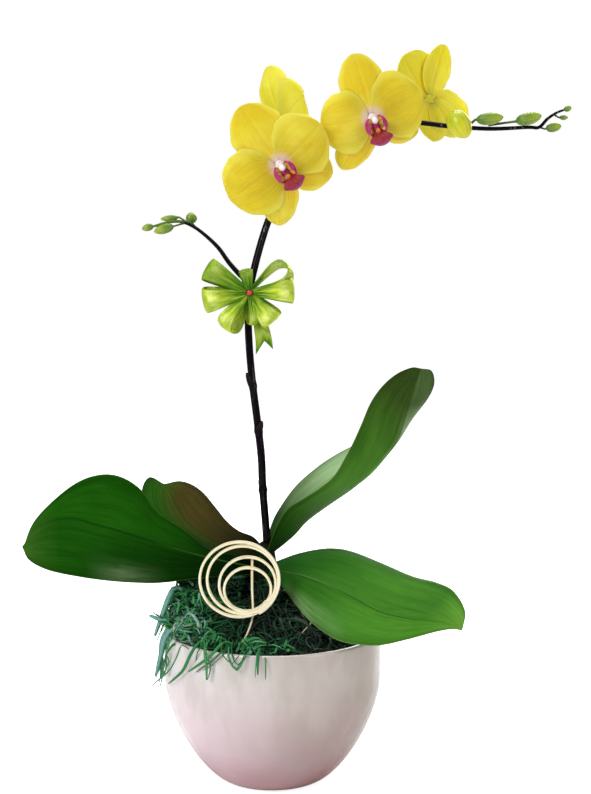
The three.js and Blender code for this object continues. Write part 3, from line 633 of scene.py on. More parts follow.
@dataclass(frozen=True)
class LeafFinish:
    """Waxy leaf: tones from root to tip on each side of the midrib, with long veins.

    Attributes:
        name: The material's name.
        root: The tone at the root; the near-black root of the left leaf is painted shade.
        blade: The tone along the blade on the side of the back edge.
        other: The tone along the blade on the side of the front edge.
        tip: The tone at the tip.
        midrib: The tone of the groove.
        edge: The tone of the thin rim.
        gloss: Roughness of the wax.
        tip_from: Share of the length where the tip's tone begins.
        tip_to: Share of the length where it is full.
        shine: Strength of the reflection.
        bloom: Strength of the pale bloom along the front edge.
        bloom_at: Share of the length where the bloom is strongest.
        split: Where across the two sides' tones run into each other, from and to.
        root_to: Share of the length that the root's tone reaches, at the back and the front edge.
        tip_back: Share of the tip's tone on the back side.
    """

    name: str
    root: Colour
    blade: Colour
    other: Colour
    tip: Colour
    midrib: Colour
    edge: Colour
    gloss: float = 0.42
    tip_from: float = 0.72
    tip_to: float = 1.0
    shine: float = 0.07
    bloom: float = 0.0
    bloom_at: float = 0.3
    split: Span = (0.47, 0.59)
    root_to: Span = (0.42, 0.42)
    tip_back: float = 1.0

    def material(self) -> Material:
        """Builds the material.

        Returns:
            The finished material.
        """
        paint = Paint(self.name, {"Specular IOR Level": self.shine})
        along, across = paint.strip
        off_middle = abs(across - 0.5)
        blotch, flecks, veins = paint.mottle(22.0), paint.fibre(5.0, 16.0), paint.fibre(2.2, 70.0)
        body = paint.mix((blotch * 0.06 + across).spread(*self.split), self.blade, self.other)
        rooted_by = (blotch * 0.1 + (along - 0.1)) / across.spread(0.3, 0.8, *self.root_to)
        tipped_by = across.spread(0.48, 0.54, self.tip_back, 1.0) * along.spread(self.tip_from, self.tip_to)
        tipped = paint.mix(tipped_by, paint.mix(rooted_by, self.root, body), self.tip)
        warmed = paint.mix(0.3, tipped, (1, 1, 0.6, 1), "SOFT_LIGHT")
        dappled = paint.mix((blotch + flecks) * 0.42, warmed, (0.3, 0.42, 0.3, 1), "MULTIPLY")
        veined = paint.mix(veins.spread(0.35, 1, 0.0, 0.6), dappled, (0.26, 0.26, 0.16, 1), "SOFT_LIGHT")
        bloom = abs(along - self.bloom_at).spread(0.16, 0.02, 0.0, self.bloom) * flecks
        bloomed = paint.mix(bloom * across.spread(0.74, 1.0), veined, srgb(176, 204, 150))
        groove = off_middle.spread(0.003, 0.014, 1.0, 0.0) * along.spread(0.68, 0.92, 0.65, 0.0)
        ribbed = paint.mix(groove, bloomed, paint.mix(along.spread(0.12, 0.36), self.edge, self.midrib))
        # Painted shade: darker towards the edges, where the blade rolls away from the light.
        edge_shade = paint.mix(off_middle.spread(0.4, 0.49, 0.0, 0.5), ribbed, (0.3, 0.35, 0.3, 1), "MULTIPLY")
        rimmed = paint.mix(off_middle.spread(0.488, 0.498, 0.0, 0.7), edge_shade, self.edge)
        rough = (veins + blotch).spread(0, 2, self.gloss - 0.06, self.gloss + 0.14)
        relief = paint.mottle(900.0) * 0.25 + ((0.75 - groove) * 1.2 + veins)
        return paint.done(rimmed, rough, relief, 0.0004, 0.5)


@dataclass(frozen=True)
class TepalFinish:
    """Yellow petal or sepal with a pale throat and fine veins; its tone is the way out."""

    name: str
    body: Colour = srgb(236, 216, 26)
    deep: Colour = srgb(206, 178, 4)
    rim: Colour = srgb(244, 232, 84)
    throat: Colour = srgb(246, 230, 222)
    blush: float = 0.6
    stripes: float = 0.0

    def material(self) -> Material:
        """Builds the material.

        Returns:
            The finished material.
        """
        paint = Paint(self.name, {
            "Subsurface Weight": 0.25, "Subsurface Scale": 0.004, "Subsurface Radius": (1.0, 0.75, 0.25),
            "Sheen Weight": 0.12, "Specular IOR Level": 0.35,
        })
        along, across = paint.strip
        off_middle = abs(across - 0.5)
        cloud, streak, veins = paint.mottle(45.0), paint.fibre(1.6, 34.0), paint.veins(38.0, 0.3)
        gilded = (cloud + streak) * 0.4 + paint.tone.spread(0.8, 0.3, 0.0, 0.45)
        patches = paint.mottle(30.0).spread(0.4, 0.85, 0.0, 0.5)
        base = paint.mix(patches, paint.mix(gilded, self.body, self.deep), self.rim)
        outer = off_middle.spread(0.36, 0.5).at_least(along.spread(0.8, 1.0))
        rim = paint.mix(paint.mottle(70.0).spread(0.6, 1.0, 0.0, 0.6), self.rim, srgb(246, 206, 118))
        lined = paint.mix(veins * 0.1, paint.mix(outer * 0.75, base, rim), srgb(196, 158, 16))
        middle_line = off_middle.spread(0.0, 0.02, 0.3, 0.0)
        ribbed = paint.mix(middle_line, lined, srgb(206, 176, 40))
        wobble = streak * -0.05 + paint.tone
        throated = paint.mix(wobble.spread(0.05, 0.17, 0.9, 0.0), ribbed, self.throat)
        lilac = wobble.spread(0.04, 0.2, self.blush, 0.0) * streak
        blushed = paint.mix(lilac, throated, srgb(214, 150, 196))
        striped = paint.mix(veins * along.spread(0.05, 0.34, self.stripes, 0.0), blushed, srgb(168, 40, 40))
        relief = veins * -0.3 + streak - middle_line
        return paint.done(striped, cloud.spread(0, 1, 0.4, 0.55), relief, 0.0005, 0.5)


@dataclass(frozen=True)
class FleshFinish:
    """Smooth plant flesh that runs from one colour to another along its length.

    Attributes:
        name: The material's name.
        start: Colour at the root.
        end: Colour at the tip.
        line: Colour of the lines.
        lines: Strength of the lines.
        count: How many lines run along it.
        gloss: Roughness.
        turning: Where along it the colour changes, from and to.
        shine: Strength of the reflection.
    """

    name: str
    start: Colour
    end: Colour
    line: Colour
    lines: float
    count: float
    gloss: float = 0.4
    turning: Span = (0.0, 1.0)
    shine: float = 0.5

    def material(self) -> Material:
        """Builds the material.

        Returns:
            The finished material.
        """
        paint = Paint(self.name, {
            "Subsurface Weight": 0.15, "Subsurface Scale": 0.002, "Coat Weight": 0.3 * self.shine,
            "Coat Roughness": 0.3, "Specular IOR Level": self.shine,
        })
        cloud, veins = paint.mottle(150.0), paint.veins(self.count, 0.45)
        drift = (cloud - 0.5) * 0.14 + paint.strip[0]
        body = paint.mix(drift.spread(*self.turning), self.start, self.end)
        rough = cloud.spread(0, 1, self.gloss - 0.06, self.gloss + 0.1)
        return paint.done(paint.mix(veins * self.lines, body, self.line), rough, cloud - veins, 0.0003, 0.5)


@dataclass(frozen=True)
class StemFinish:
    """Near-black skin of the flower spike, with pale streaks on its upper part that are a painted
    highlight.
    """

    dark: Colour = srgb(5, 4, 7)
    wine: Colour = srgb(18, 6, 22)
    # pale: colour of the painted highlight streaks.
    pale: Colour = srgb(172, 174, 168)

    def material(self) -> Material:
        """Builds the material.

        Returns:
            The finished material.
        """
        values = {"Coat Weight": 0.14, "Coat Roughness": 0.08, "Specular IOR Level": 0.02}
        paint = Paint("spike_skin", values)
        height = paint.axes(paint.place)[2]
        upright = paint.add("Mapping", {"Vector": paint.place, "Rotation": (0, math.pi / 2, 0)})
        streaks = paint.fibre(26.0, 520.0, upright)
        # Painted highlight: pale streaks on the spike above the bow.
        highlight_streaks = streaks.spread(0.75, 1.0) * height.spread(0.35, 0.38, 0.5, 1.2)
        colour = paint.mix(highlight_streaks * 0.6, paint.mix(paint.mottle(60.0), self.dark, self.wine), self.pale)
        relief = streaks * height.spread(0.18, 0.3, 1.0, 0.35)
        return paint.done(colour, streaks.spread(0, 1, 0.28, 0.5), relief, 0.0008, 0.8)


@dataclass(frozen=True)
class SatinFinish:
    """Satin ribbon with a fine cross weave and a firm selvage, and painted light and shade: sheen bands, a
    highlight band and darker creases and bends.
    """

    name: str = "lime_satin"
    # bright and deep: the lit and the shaded green of the painted light and shade.
    bright: Colour = srgb(238, 255, 78)
    deep: Colour = srgb(58, 124, 4)

    def material(self) -> Material:
        """Builds the material; the tone is a painted shade that dims a loop.

        Returns:
            The finished material.
        """
        paint = Paint(self.name, {"Metallic": 0.4, "Specular IOR Level": 0.3})
        along, across = paint.strip
        # Painted sheen: broad bands of light across the satin.
        sheen_bands = paint.fibre(4.0, 2.0)
        from_end = abs(along - 0.5)
        # Painted shade: darker in the creases near the knot and at the bend at each loop's end.
        creases = paint.fibre(1.6, 4.0).spread(0.25, 0.75, 0.15, 1.0)
        dimmed = from_end.spread(0.28, 0.47, 0.0, 0.9) * creases + from_end.spread(0.0, 0.05, 0.5, 0.0)
        lit = (sheen_bands.spread(0.1, 0.9, 0.38, 1.0) - dimmed).at_least(0.0)
        open_light = 1.0 - paint.tone
        satin = paint.mix(lit * open_light, self.deep, self.bright)
        # Painted highlight: a pale band part way out along each loop.
        highlight_band = abs(from_end - 0.24).spread(0.0, 0.09, 0.75, 0.0) * sheen_bands * open_light
        highlighted = paint.mix(highlight_band, satin, srgb(252, 255, 180))
        selvage = abs(across - 0.5).spread(0.455, 0.47, 0.0, 0.5)
        weave = (along * 620.0).sine() * (across * 260.0).sine()
        edged = paint.mix(selvage, highlighted, srgb(112, 158, 30))
        return paint.done(edged, sheen_bands.spread(0, 1, 0.4, 0.24), selvage * 2.0 + weave, 0.00006, 0.6)


@dataclass(frozen=True)
class CaneFinish:
    """Split cane: cream gold with long fibres and darker corners."""

    name: str = "split_cane"
    pale: Colour = srgb(255, 252, 226)
    gold: Colour = srgb(255, 246, 208)
    dark: Colour = srgb(190, 136, 76)

    def material(self) -> Material:
        """Builds the material.

        Returns:
            The finished material.
        """
        paint = Paint(self.name, {"Specular IOR Level": 0.4, "Coat Weight": 0.2, "Coat Roughness": 0.35})
        fibres = paint.fibre(60.0, 14.0)
        body = paint.mix(paint.mottle(70.0), self.pale, self.gold)
        grained = paint.mix(fibres.spread(0.66, 1.0, 0.0, 0.75), body, self.dark)
        corner = abs((paint.strip[1] * (2 * FULL_TURN)).sine())
        edged = paint.mix(corner.spread(0.84, 1.0, 0.0, 0.65), grained, self.dark)
        return paint.done(edged, fibres.spread(0, 1, 0.4, 0.6), fibres, 0.0002, 0.7)


@dataclass(frozen=True)
class BeadFinish:
    """Glossy red bead with a pearly sheen of orange."""

    red: Colour = srgb(220, 18, 70)
    orange: Colour = srgb(240, 132, 96)

    def material(self) -> Material:
        """Builds the material.

        Returns:
            The finished material.
        """
        paint = Paint("red_bead", {"Roughness": 0.15, "Coat Weight": 0.7, "Coat Roughness": 0.05})
        colour = paint.mix(paint.mottle(420.0).spread(0.7, 1.0, 0.0, 0.5), self.red, self.orange)
        return paint.done(colour, None, paint.mottle(700.0), 0.0001, 0.4)


# ---------------------------------------------------------------- pieces


def link(name: str, data: bpy.types.ID) -> bpy.types.Object:
    """A new object in the scene.

    Args:
        name: The object's name.
        data: Its mesh, light or camera.

    Returns:
        The object.
    """
    thing = bpy.data.objects.new(name, data)
    bpy.context.scene.collection.objects.link(thing)
    return thing


def make_piece(
    name: str, parts: Sequence[tuple[Skin, Material]], node: str = ""
) -> bpy.types.Object:
    """Puts skins into one smooth mesh, in place, and ties it to the frame.

    Args:
        name: The piece's name.
        parts: The skins and the material of each.
        node: The CAD node that it replaces, where that isn't its name.

    Returns:
        The new object.
    """
    skins = [skin for skin, _ in parts]
    whole = joined(skins)
    mesh = bpy.data.meshes.new(name)
    mesh.from_pydata(whole.points * MM, [], whole.quads.tolist() + whole.caps)
    corners = np.zeros((len(mesh.loops), 2), np.float32)
    corners[: whole.uv.shape[0] * 4] = whole.uv.reshape(-1, 2)
    mesh.uv_layers.new(name="UVMap").data.foreach_set("uv", corners.ravel())
    tone = mesh.attributes.new("tone", "FLOAT", "POINT")
    tone.data.foreach_set("value", whole.tone.astype(np.float32))
    counts = [len(skin.quads) for skin in skins] + [len(skin.caps) for skin in skins]
    numbers = np.repeat(np.tile(np.arange(len(skins)), 2), counts)
    mesh.polygons.foreach_set("material_index", numbers.astype(np.int32))
    for _, material in parts:
        mesh.materials.append(material)
    shell = bmesh.new()
    shell.from_mesh(mesh)
    bmesh.ops.recalc_face_normals(shell, faces=shell.faces)
    shell.to_mesh(mesh)
    shell.free()
    mesh.shade_smooth()
    piece = link(name, mesh)
    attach(piece, BODY)
    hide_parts(node or name)
    log.info("%s: %d faces", name, len(mesh.polygons))
    return piece


@dataclass
class Bowl:
    """The glazed bowl and the potting mix in it."""

    height: float = 112.0
    rim_radius: float = 80.0
    belly_radius: float = 79.5
    belly_height: float = 75.0
    foot_radius: float = 34.0
    belly_power: float = 1.5
    wall: float = 4.0
    floor: float = 6.0
    rim_drop: float = 1.9
    centre_gap: float = 2.0
    segments: int = 144

    def radius(self, heights: Array) -> Array:
        """Outer radius at heights: a swelling curve up to the belly, then nearly straight.

        Below the belly the radius goes from foot to belly by the share 1 minus the power of
        what is left of the height, taken to one over that power.

        Args:
            heights: Heights over the floor.

        Returns:
            One radius for each height.
        """
        left = np.clip(1 - heights / self.belly_height, 0, 1)
        share = (1 - left**self.belly_power) ** (1 / self.belly_power)
        low = self.foot_radius + (self.belly_radius - self.foot_radius) * share
        up = np.clip((heights - self.belly_height) / (self.height - self.belly_height), 0, 1)
        high = self.belly_radius + up * (self.rim_radius - self.belly_radius)
        return np.where(heights < self.belly_height, low, high)

    def build(self) -> None:
        """Builds the bowl, from the foot up outside and down inside, and dresses the mix."""
        rim_start = self.height - self.rim_drop
        up = rim_start * np.linspace(0, 1, 56) ** 1.7
        down = np.linspace(rim_start, self.floor + 2, 40)
        half = self.wall / 2 - 0.1
        rim = circle(np.linspace(0, math.pi, 13)) * [half, self.rim_drop]
        rim += [self.rim_radius - half - 0.05, rim_start]
        foot = [[self.centre_gap, 0.0], [30.0, 0.0], [self.foot_radius - 0.5, 0.0]]
        outer = np.stack([self.radius(up), up], axis=-1)
        inner = np.stack([self.radius(down) - self.wall - 0.1, down], axis=-1)
        bottom = [[self.foot_radius - 8, self.floor], [self.centre_gap, self.floor]]
        profile = np.vstack([foot, outer[1:], rim[1:-1], inner, bottom])
        make_piece("pot", [(turned(profile, self.segments), GlazeFinish().material())])
        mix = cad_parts["potting_mix"].data.materials
        mix.clear()
        mix.append(BarkFinish().material())


@dataclass
class Moss:
    """Shredded moss: a packed mound, loose strands all over it and some that hang over the rim.

    Attributes:
        radius: Radius of the mound.
        base: Height of its underside.
        edge_height: Height of its edge.
        rise: How far its middle stands over the edge.
        strands: How many loose strands lie on it.
        strand_points: Places along each.
        curled_share: Share of them that curl.
        straw_share: Share of them that are pale as straw.
        mound_rings: Rings of points over the mound.
        mound_segments: Points in such a ring.
        seed: Seed of the draws.
        box: Lowest and highest corner of the place that it keeps to.
        rim_reach: Distance from the axis past which a strand of a tuft hangs outside.
        rim_lift: Height at which such a strand starts at least.
        clear_from: Height under which strands are kept off the wall of the bowl.
        clear: Distances from the axis that they keep to, inside and outside.
        tufts: Balls of curled strands: x, y, z, radius, how many, tone.
        humps: Humps of the mound: x, y, height, breadth.
        broad: Broad strands that hang over the rim.
        hanging: Narrower ones.
    """

    radius: float = 75.0
    base: float = 100.3
    edge_height: float = 108.0
    rise: float = 28.0
    strands: int = 1350
    strand_points: int = 10
    curled_share: float = 0.2
    straw_share: float = 0.002
    mound_rings: int = 46
    mound_segments: int = 130
    seed: int = 11
    box: tuple[Point, Point] = ((-90.8, -84.0, 73.0), (75.0, 75.0, 151.0))
    rim_reach: float = 77.5
    rim_lift: float = 120.0
    clear_from: float = 113.5
    clear: Span = (74.8, 82.0)
    tufts: tuple[tuple[float, float, float, float, int, float], ...] = (
        (-60, -10, 129, 14, 290, 0.8), (-57, -37, 118, 11, 160, 0.74), (-42, -53, 114, 8, 80, 0.5),
        (-13, -64, 112, 7, 110, 0.62), (4, -62, 109, 8, 60, 0.5), (-71, -18, 122, 6, 40, 0.7),
        # The very low tones of the tufts round the crown are partly dark moss and partly painted shade
        # under the leaves.
        (-64, -10, 137, 8, 130, 0.5), (-34, 6, 141, 13, 230, 0.2), (-14, 10, 144, 9, 130, 0.08),
        (-50, 4, 141, 10, 170, 0.3), (-2, -16, 142, 9, 120, 0.06), (12, -8, 136, 10, 60, 0.1),
        (-60, 2, 144, 7, 80, 0.3), (-30, 0, 146, 7, 60, 0.1),
    )
    humps: tuple[tuple[float, float, float, float], ...] = ((8, 26, 13, 14), (-58, -10, 22, 13))
    broad: tuple[Rail, ...] = (
        ((-60, -18, 124), (-67, -20, 125), (-75, -21, 123), (-82, -21, 123.5), (-89, -20, 126)),
        ((-62, -12, 138), (-69, -16, 146), (-74, -19, 141), (-80, -20, 125), (-85, -21, 111)),
        ((-66, -20, 116), (-73, -23, 118), (-79, -24, 110), (-80.5, -22, 98), (-80, -21, 88),
         (-81, -21, 79)),
        ((-60, -30, 114), (-70, -33, 119), (-77, -32, 112), (-80, -27, 100), (-83, -22, 88),
         (-85, -18, 80)),
    )
    hanging: tuple[Rail, ...] = (
        ((-56, -34, 112), (-66, -40, 118), (-73, -43, 112), (-76, -36, 100), (-78, -29, 90),
         (-80, -22, 80)),
        ((-42, -50, 110), (-50, -60, 117), (-56, -64, 110), (-62, -56, 96), (-68, -48, 88),
         (-74, -36, 80)),
        ((-44, -46, 112), (-45, -62, 118), (-46, -71, 112), (-45, -72, 104), (-45, -71, 93)),
        ((-24, -50, 112), (-33, -66, 118), (-40, -74, 113), (-47, -70, 106), (-58, -61, 96)),
        ((-26, -62, 110), (-29, -73, 117), (-29, -80, 111), (-24, -81, 103), (-19, -81, 110),
         (-14, -76, 117)),
        ((-6, -64, 108), (-8, -75, 116), (-9, -83, 110), (-9, -83, 100)),
    )

    def height(self, x: Array, y: Array) -> Array:
        """Height of the mound: a dome plus its bell-shaped humps, flattened towards the edge.

        Args:
            x: Places to the right.
            y: Places towards the back.

        Returns:
            One height for each place.
        """
        share = np.minimum(np.hypot(x, y) / self.radius, 1)
        humps = sum(
            rise * np.exp(-((x - hx) ** 2 + (y - hy) ** 2) / (2 * spread**2))
            for hx, hy, rise, spread in self.humps
        )
        return self.edge_height + (self.rise * (1 - share**2) + humps) * (1 - share**8)

    def mound(self) -> Skin:
        """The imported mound: the height over rings of points, with lumps, closed below.

        Returns:
            The closed mound, with paler tones on its lumps.
        """
        share = np.concatenate([[1.0, 1.0], np.linspace(0.99, 0.02, self.mound_rings)])
        angle = around(self.mound_segments)
        x, y = (self.radius * share[:, None] * wave(angle) for wave in (np.cos, np.sin))
        flat = np.stack([x, y], axis=-1)
        lumps = smooth_noise(flat / 5, self.seed) + smooth_noise(flat / 2, 5)
        z = self.height(x, y) - 1.5 + lumps * (1 - share[:, None] ** 6)
        z[0] = self.base
        skin = tube_skin(np.stack([x, y, z], axis=-1))
        skin.tone = 0.02 + 0.1 * (lumps.ravel() + 1)
        return skin

    def drawn_paths(self) -> tuple[Array, Array]:
        """Draws the loose strands over the mound.

        Each runs from a drawn spot on a bent heading, arches up as a half sine and dips into the
        mound at its ends. Some curl: their heading turns by more than a full circle.

        Returns:
            Places by strand, by point, by coordinate, and the width of each strand.
        """
        draw = np.random.default_rng(self.seed)
        count = self.strands
        radius = self.radius * 0.97 * np.sqrt(draw.uniform(0, 1, count))
        angle = draw.uniform(0, FULL_TURN, count)
        heading = draw.uniform(0, FULL_TURN, count)
        curl = draw.uniform(0, 1, count) < self.curled_share
        bend = np.where(curl, draw.uniform(4.0, 7.5, count), draw.uniform(-1.8, 1.8, count))
        reach = np.where(curl, draw.uniform(22, 34, count), draw.uniform(16, 40, count))
        lift = draw.uniform(0.8, 6.5, count)
        t = np.linspace(0, 1, self.strand_points)
        step = reach / (self.strand_points - 1)
        direction = circle(heading[:, None] + bend[:, None] * t)
        flat = radius[:, None, None] * circle(angle)[:, None]
        flat = flat + np.cumsum(step[:, None, None] * direction, axis=1)
        away = np.linalg.norm(flat, axis=-1, keepdims=True)
        x, y = np.moveaxis(flat / np.maximum(away / (self.radius - 1.5), 1), -1, 0)
        rise = lift[:, None] * np.sin(math.pi * t) ** 0.8
        near_crown = np.exp(-(((x + 5) ** 2 + y**2) / 300))
        z = self.height(x, y) - 1.6 + rise * (1 - 0.7 * near_crown)
        return np.stack([x, y, z], axis=-1), draw.uniform(1.0, 2.3, count)

    def tuft_paths(self) -> tuple[Array, Array, Array]:
        """Draws curled strands in loose balls that swell over the rim.

        Each strand is an arc of a small circle in a drawn plane round a drawn spot of its ball.
        Where it hangs below the rim it is kept off the wall of the bowl.

        Returns:
            Places by strand, by point, by coordinate, the widths and the tones.
        """
        draw = np.random.default_rng(self.seed + 5)
        table = np.array(self.tufts)
        table = np.repeat(table, table[:, 4].astype(int), axis=0)
        count = len(table)
        way = unit(draw.normal(size=(count, 3)))
        spot = table[:, :3] + way * (table[:, 3:4] * draw.uniform(0.1, 1, (count, 1)) ** 0.5 * [1, 1, 0.8])
        outside = np.hypot(spot[:, 0], spot[:, 1]) > self.rim_reach
        spot[:, 2] = np.where(outside, np.maximum(spot[:, 2], self.rim_lift), spot[:, 2])
        first = unit(draw.normal(size=(count, 3)))
        second = unit(np.cross(first, draw.normal(size=(count, 3))))
        t = np.linspace(0, 1, 11)
        turn = (draw.uniform(0.35, 1.25, count)[:, None] * FULL_TURN * t)[..., None]
        radius = draw.uniform(2.5, 7.5, (count, 1, 1))
        paths = spot[:, None] + radius * (first[:, None] * np.cos(turn) + second[:, None] * np.sin(turn))
        paths[..., 2] -= 3 * t**2
        away = np.maximum(np.hypot(paths[..., 0], paths[..., 1]), 1)
        inner, outer = self.clear
        kept = np.where(outside[:, None], np.maximum(away, outer), np.minimum(away, inner))
        kept = np.where(paths[..., 2] < self.clear_from, kept, away)
        paths[..., :2] *= (kept / away)[..., None]
        tones = np.clip(draw.normal(table[:, 5], 0.15), 0.1, 0.97)
        return np.clip(paths, *self.box), draw.uniform(1.1, 3.2, count), tones

    def trail_paths(self, draw: np.random.Generator) -> tuple[Array, Array, Array]:
        """The strands over the rim, each with two looser and thinner copies.

        Args:
            draw: The source of the draws.

        Returns:
            Places by strand, by point, by coordinate, the widths and the tones.
        """
        share = np.linspace(0, 1, 15)
        rim_paths = np.stack([spline(points, share) for points in (*self.hanging, *self.broad)])
        narrow, count = len(self.hanging), len(rim_paths)
        copies = [rim_paths]
        for copy in range(2):
            offset = draw.normal(0, 3.6, (count, 1, 3)) * np.array([1.0, 0.0, 0.9])
            offset[narrow:, :, 0] = 0.4 * np.abs(offset[narrow:, :, 0]) + 1.2
            sway = smooth_noise(rim_paths / 12, copy)[..., None] * np.array([2.6, 0.0, 1.6])
            copies.append(rim_paths + offset + sway)
        paths = np.clip(np.vstack(copies), *self.box)
        widths = draw.uniform(0.7, 1.3, len(paths))
        widths[:count] += 1.1
        widths[narrow:count] += 1.7
        tones = np.clip(draw.normal(0.54, 0.12, len(paths)), 0.3, 0.76)
        tones[narrow:count] = 0.87
        return paths, widths, tones

    def ribbons(
        self, paths: Array, widths: Array, tones: Array, thickness: float = 0.45, facing: Point = (0, 0, 1)
    ) -> Skin:
        """Flat three-sided strips along many paths at once.

        Args:
            paths: Places by strand, by point, by coordinate.
            widths: The width of each strand.
            tones: The tone of each strand.
            thickness: How far the ridge of a strip stands up.
            facing: The way that most strips lie open to.

        Returns:
            All strips as one skin.
        """
        count, rows, _ = paths.shape
        ahead = unit(np.gradient(paths, axis=1))
        lean = np.random.default_rng(self.seed + 1).normal(0, 0.5, (count, 1, 3)) + np.array(facing)
        side = unit(np.cross(ahead, lean))
        taper = np.sin(math.pi * np.linspace(0.12, 0.95, rows)) ** 0.4
        half = side * widths[:, None, None] / 2 * taper[None, :, None]
        rings = np.stack([paths - half, paths + half, paths + np.cross(side, ahead) * thickness], axis=2)
        quads, uv = grid_faces(rows, 3, wrap=True)
        size = rows * 3
        starts = np.arange(count)[:, None, None] * size
        caps = (starts + np.array([[0, 1, 2], [size - 3, size - 2, size - 1]])).reshape(-1, 3)
        quads = (quads[None] + starts).reshape(-1, 4)
        points, uv = rings.reshape(-1, 3), np.tile(uv, (count, 1, 1))
        return Skin(points, quads, uv, np.repeat(tones, size), caps.tolist())

    def build(self) -> None:
        """Builds the mound and all strands as one piece."""
        draw = np.random.default_rng(self.seed + 2)
        paths, widths = self.drawn_paths()
        bright = 0.1 + 0.4 / (1 + np.exp((paths[:, 5, 0] + 38) / 7))
        tones = np.clip(draw.normal(bright, 0.12), 0.0, 0.85)
        tones[draw.uniform(0, 1, len(paths)) < self.straw_share] = 1.0
        skins = {
            MossFinish("moss_bed", 0.7): self.mound(),
            MossFinish("moss_strands"): self.ribbons(paths, widths, tones),
            MossFinish("moss_curls"): self.ribbons(*self.tuft_paths()),
            MossFinish("moss_trails"): self.ribbons(*self.trail_paths(draw), 0.6, (-0.4, -1.6, 0.4)),
        }
        make_piece("shredded_moss", [(skin, finish.material()) for finish, skin in skins.items()])


# ---------------------------------------------------------------- crown and leaves


@dataclass
class Crown:
    """The short stem that holds the leaves, wrapped in their sheaths."""

    place: Point = (-5.0, 1.0, 0.0)
    profile: tuple[Span, ...] = (
        (0.6, 84.0), (2.4, 84.0), (3.6, 90), (4.9, 96), (6.0, 105), (6.9, 114), (7.6, 126), (8.1, 138),
        (8.8, 146), (9.0, 151), (8.6, 158), (8.0, 164), (7.0, 169), (5.4, 173.6), (3.0, 175.9),
        (0.6, 176.4),
    )

    def build(self) -> None:
        """Builds the crown: a turned profile with soft ribs that follow the sheaths."""
        skin = turned(spline([(r, z, 0.0) for r, z in self.profile], np.linspace(0, 1, 60))[:, :2], 56)
        x, y, z = skin.points.T
        ribs = 1 - 0.06 * np.abs(np.sin(1.5 * np.arctan2(y, x) + 0.03 * z))
        skin.points = np.stack([x * ribs, y * ribs, z], axis=-1) + self.place
        # The near-black colours are the dark green sheaths with painted shade deep among the leaf bases.
        finish = FleshFinish(
            "crown_sheath", srgb(6, 14, 4), srgb(16, 30, 8), srgb(12, 10, 6), 0.6, 24.0, shine=0.05
        )
        make_piece("crown", [(skin, finish.material())])


@dataclass
class Leaf:
    """A strap leaf stretched between its midrib and its two edges.

    Attributes:
        name: The node it stands for.
        midrib: Points of the midrib from the root to the tip.
        back: Points of the edge on the far side.
        front: Points of the edge on the near side.
        bulge: How far each half arches between midrib and edge.
        finish: Its finish.
    """

    name: str
    midrib: Rail
    back: Rail
    front: Rail
    bulge: float
    finish: LeafFinish
    rows: int = 110
    columns: int = 41

    def build(self) -> None:
        """Builds the blade, thickest along the midrib and thin at its edges.

        Each point lies between midrib and edge by its share across, lifted along the blade's
        normal by the bulge times a half sine along and a parabola across, with a shallow groove
        over the midrib and a faint wave towards the edges.
        """
        u = (1 - (1 - np.linspace(0, 1, self.rows)) ** 1.35) * 0.9975
        back, midrib, front = (spline(rail, u) for rail in (self.back, self.midrib, self.front))
        v = np.linspace(-1, 1, self.columns)[None, :, None]
        share = np.abs(v)
        edge = np.where(v < 0, back[:, None], front[:, None])
        normal = unit(np.cross(front - back, np.gradient(midrib, axis=0)))[:, None]
        along = np.sin(math.pi * u)[:, None, None]
        lift = self.bulge * along * 4 * share * (1 - share)
        lift = lift - 0.35 * along * np.exp(-((share / 0.04) ** 2)) * math.copysign(1, self.bulge)
        lift = lift + 0.35 * np.sin(22 * u[:, None, None] + 3 * v) * share**3 * along
        middle = midrib[:, None] + (edge - midrib[:, None]) * share + normal * lift
        skin = sheet_skin(middle, (2.3 - 1.3 * share - 0.7 * share**12)[..., 0])
        make_piece(self.name, [(skin, self.finish.material())])


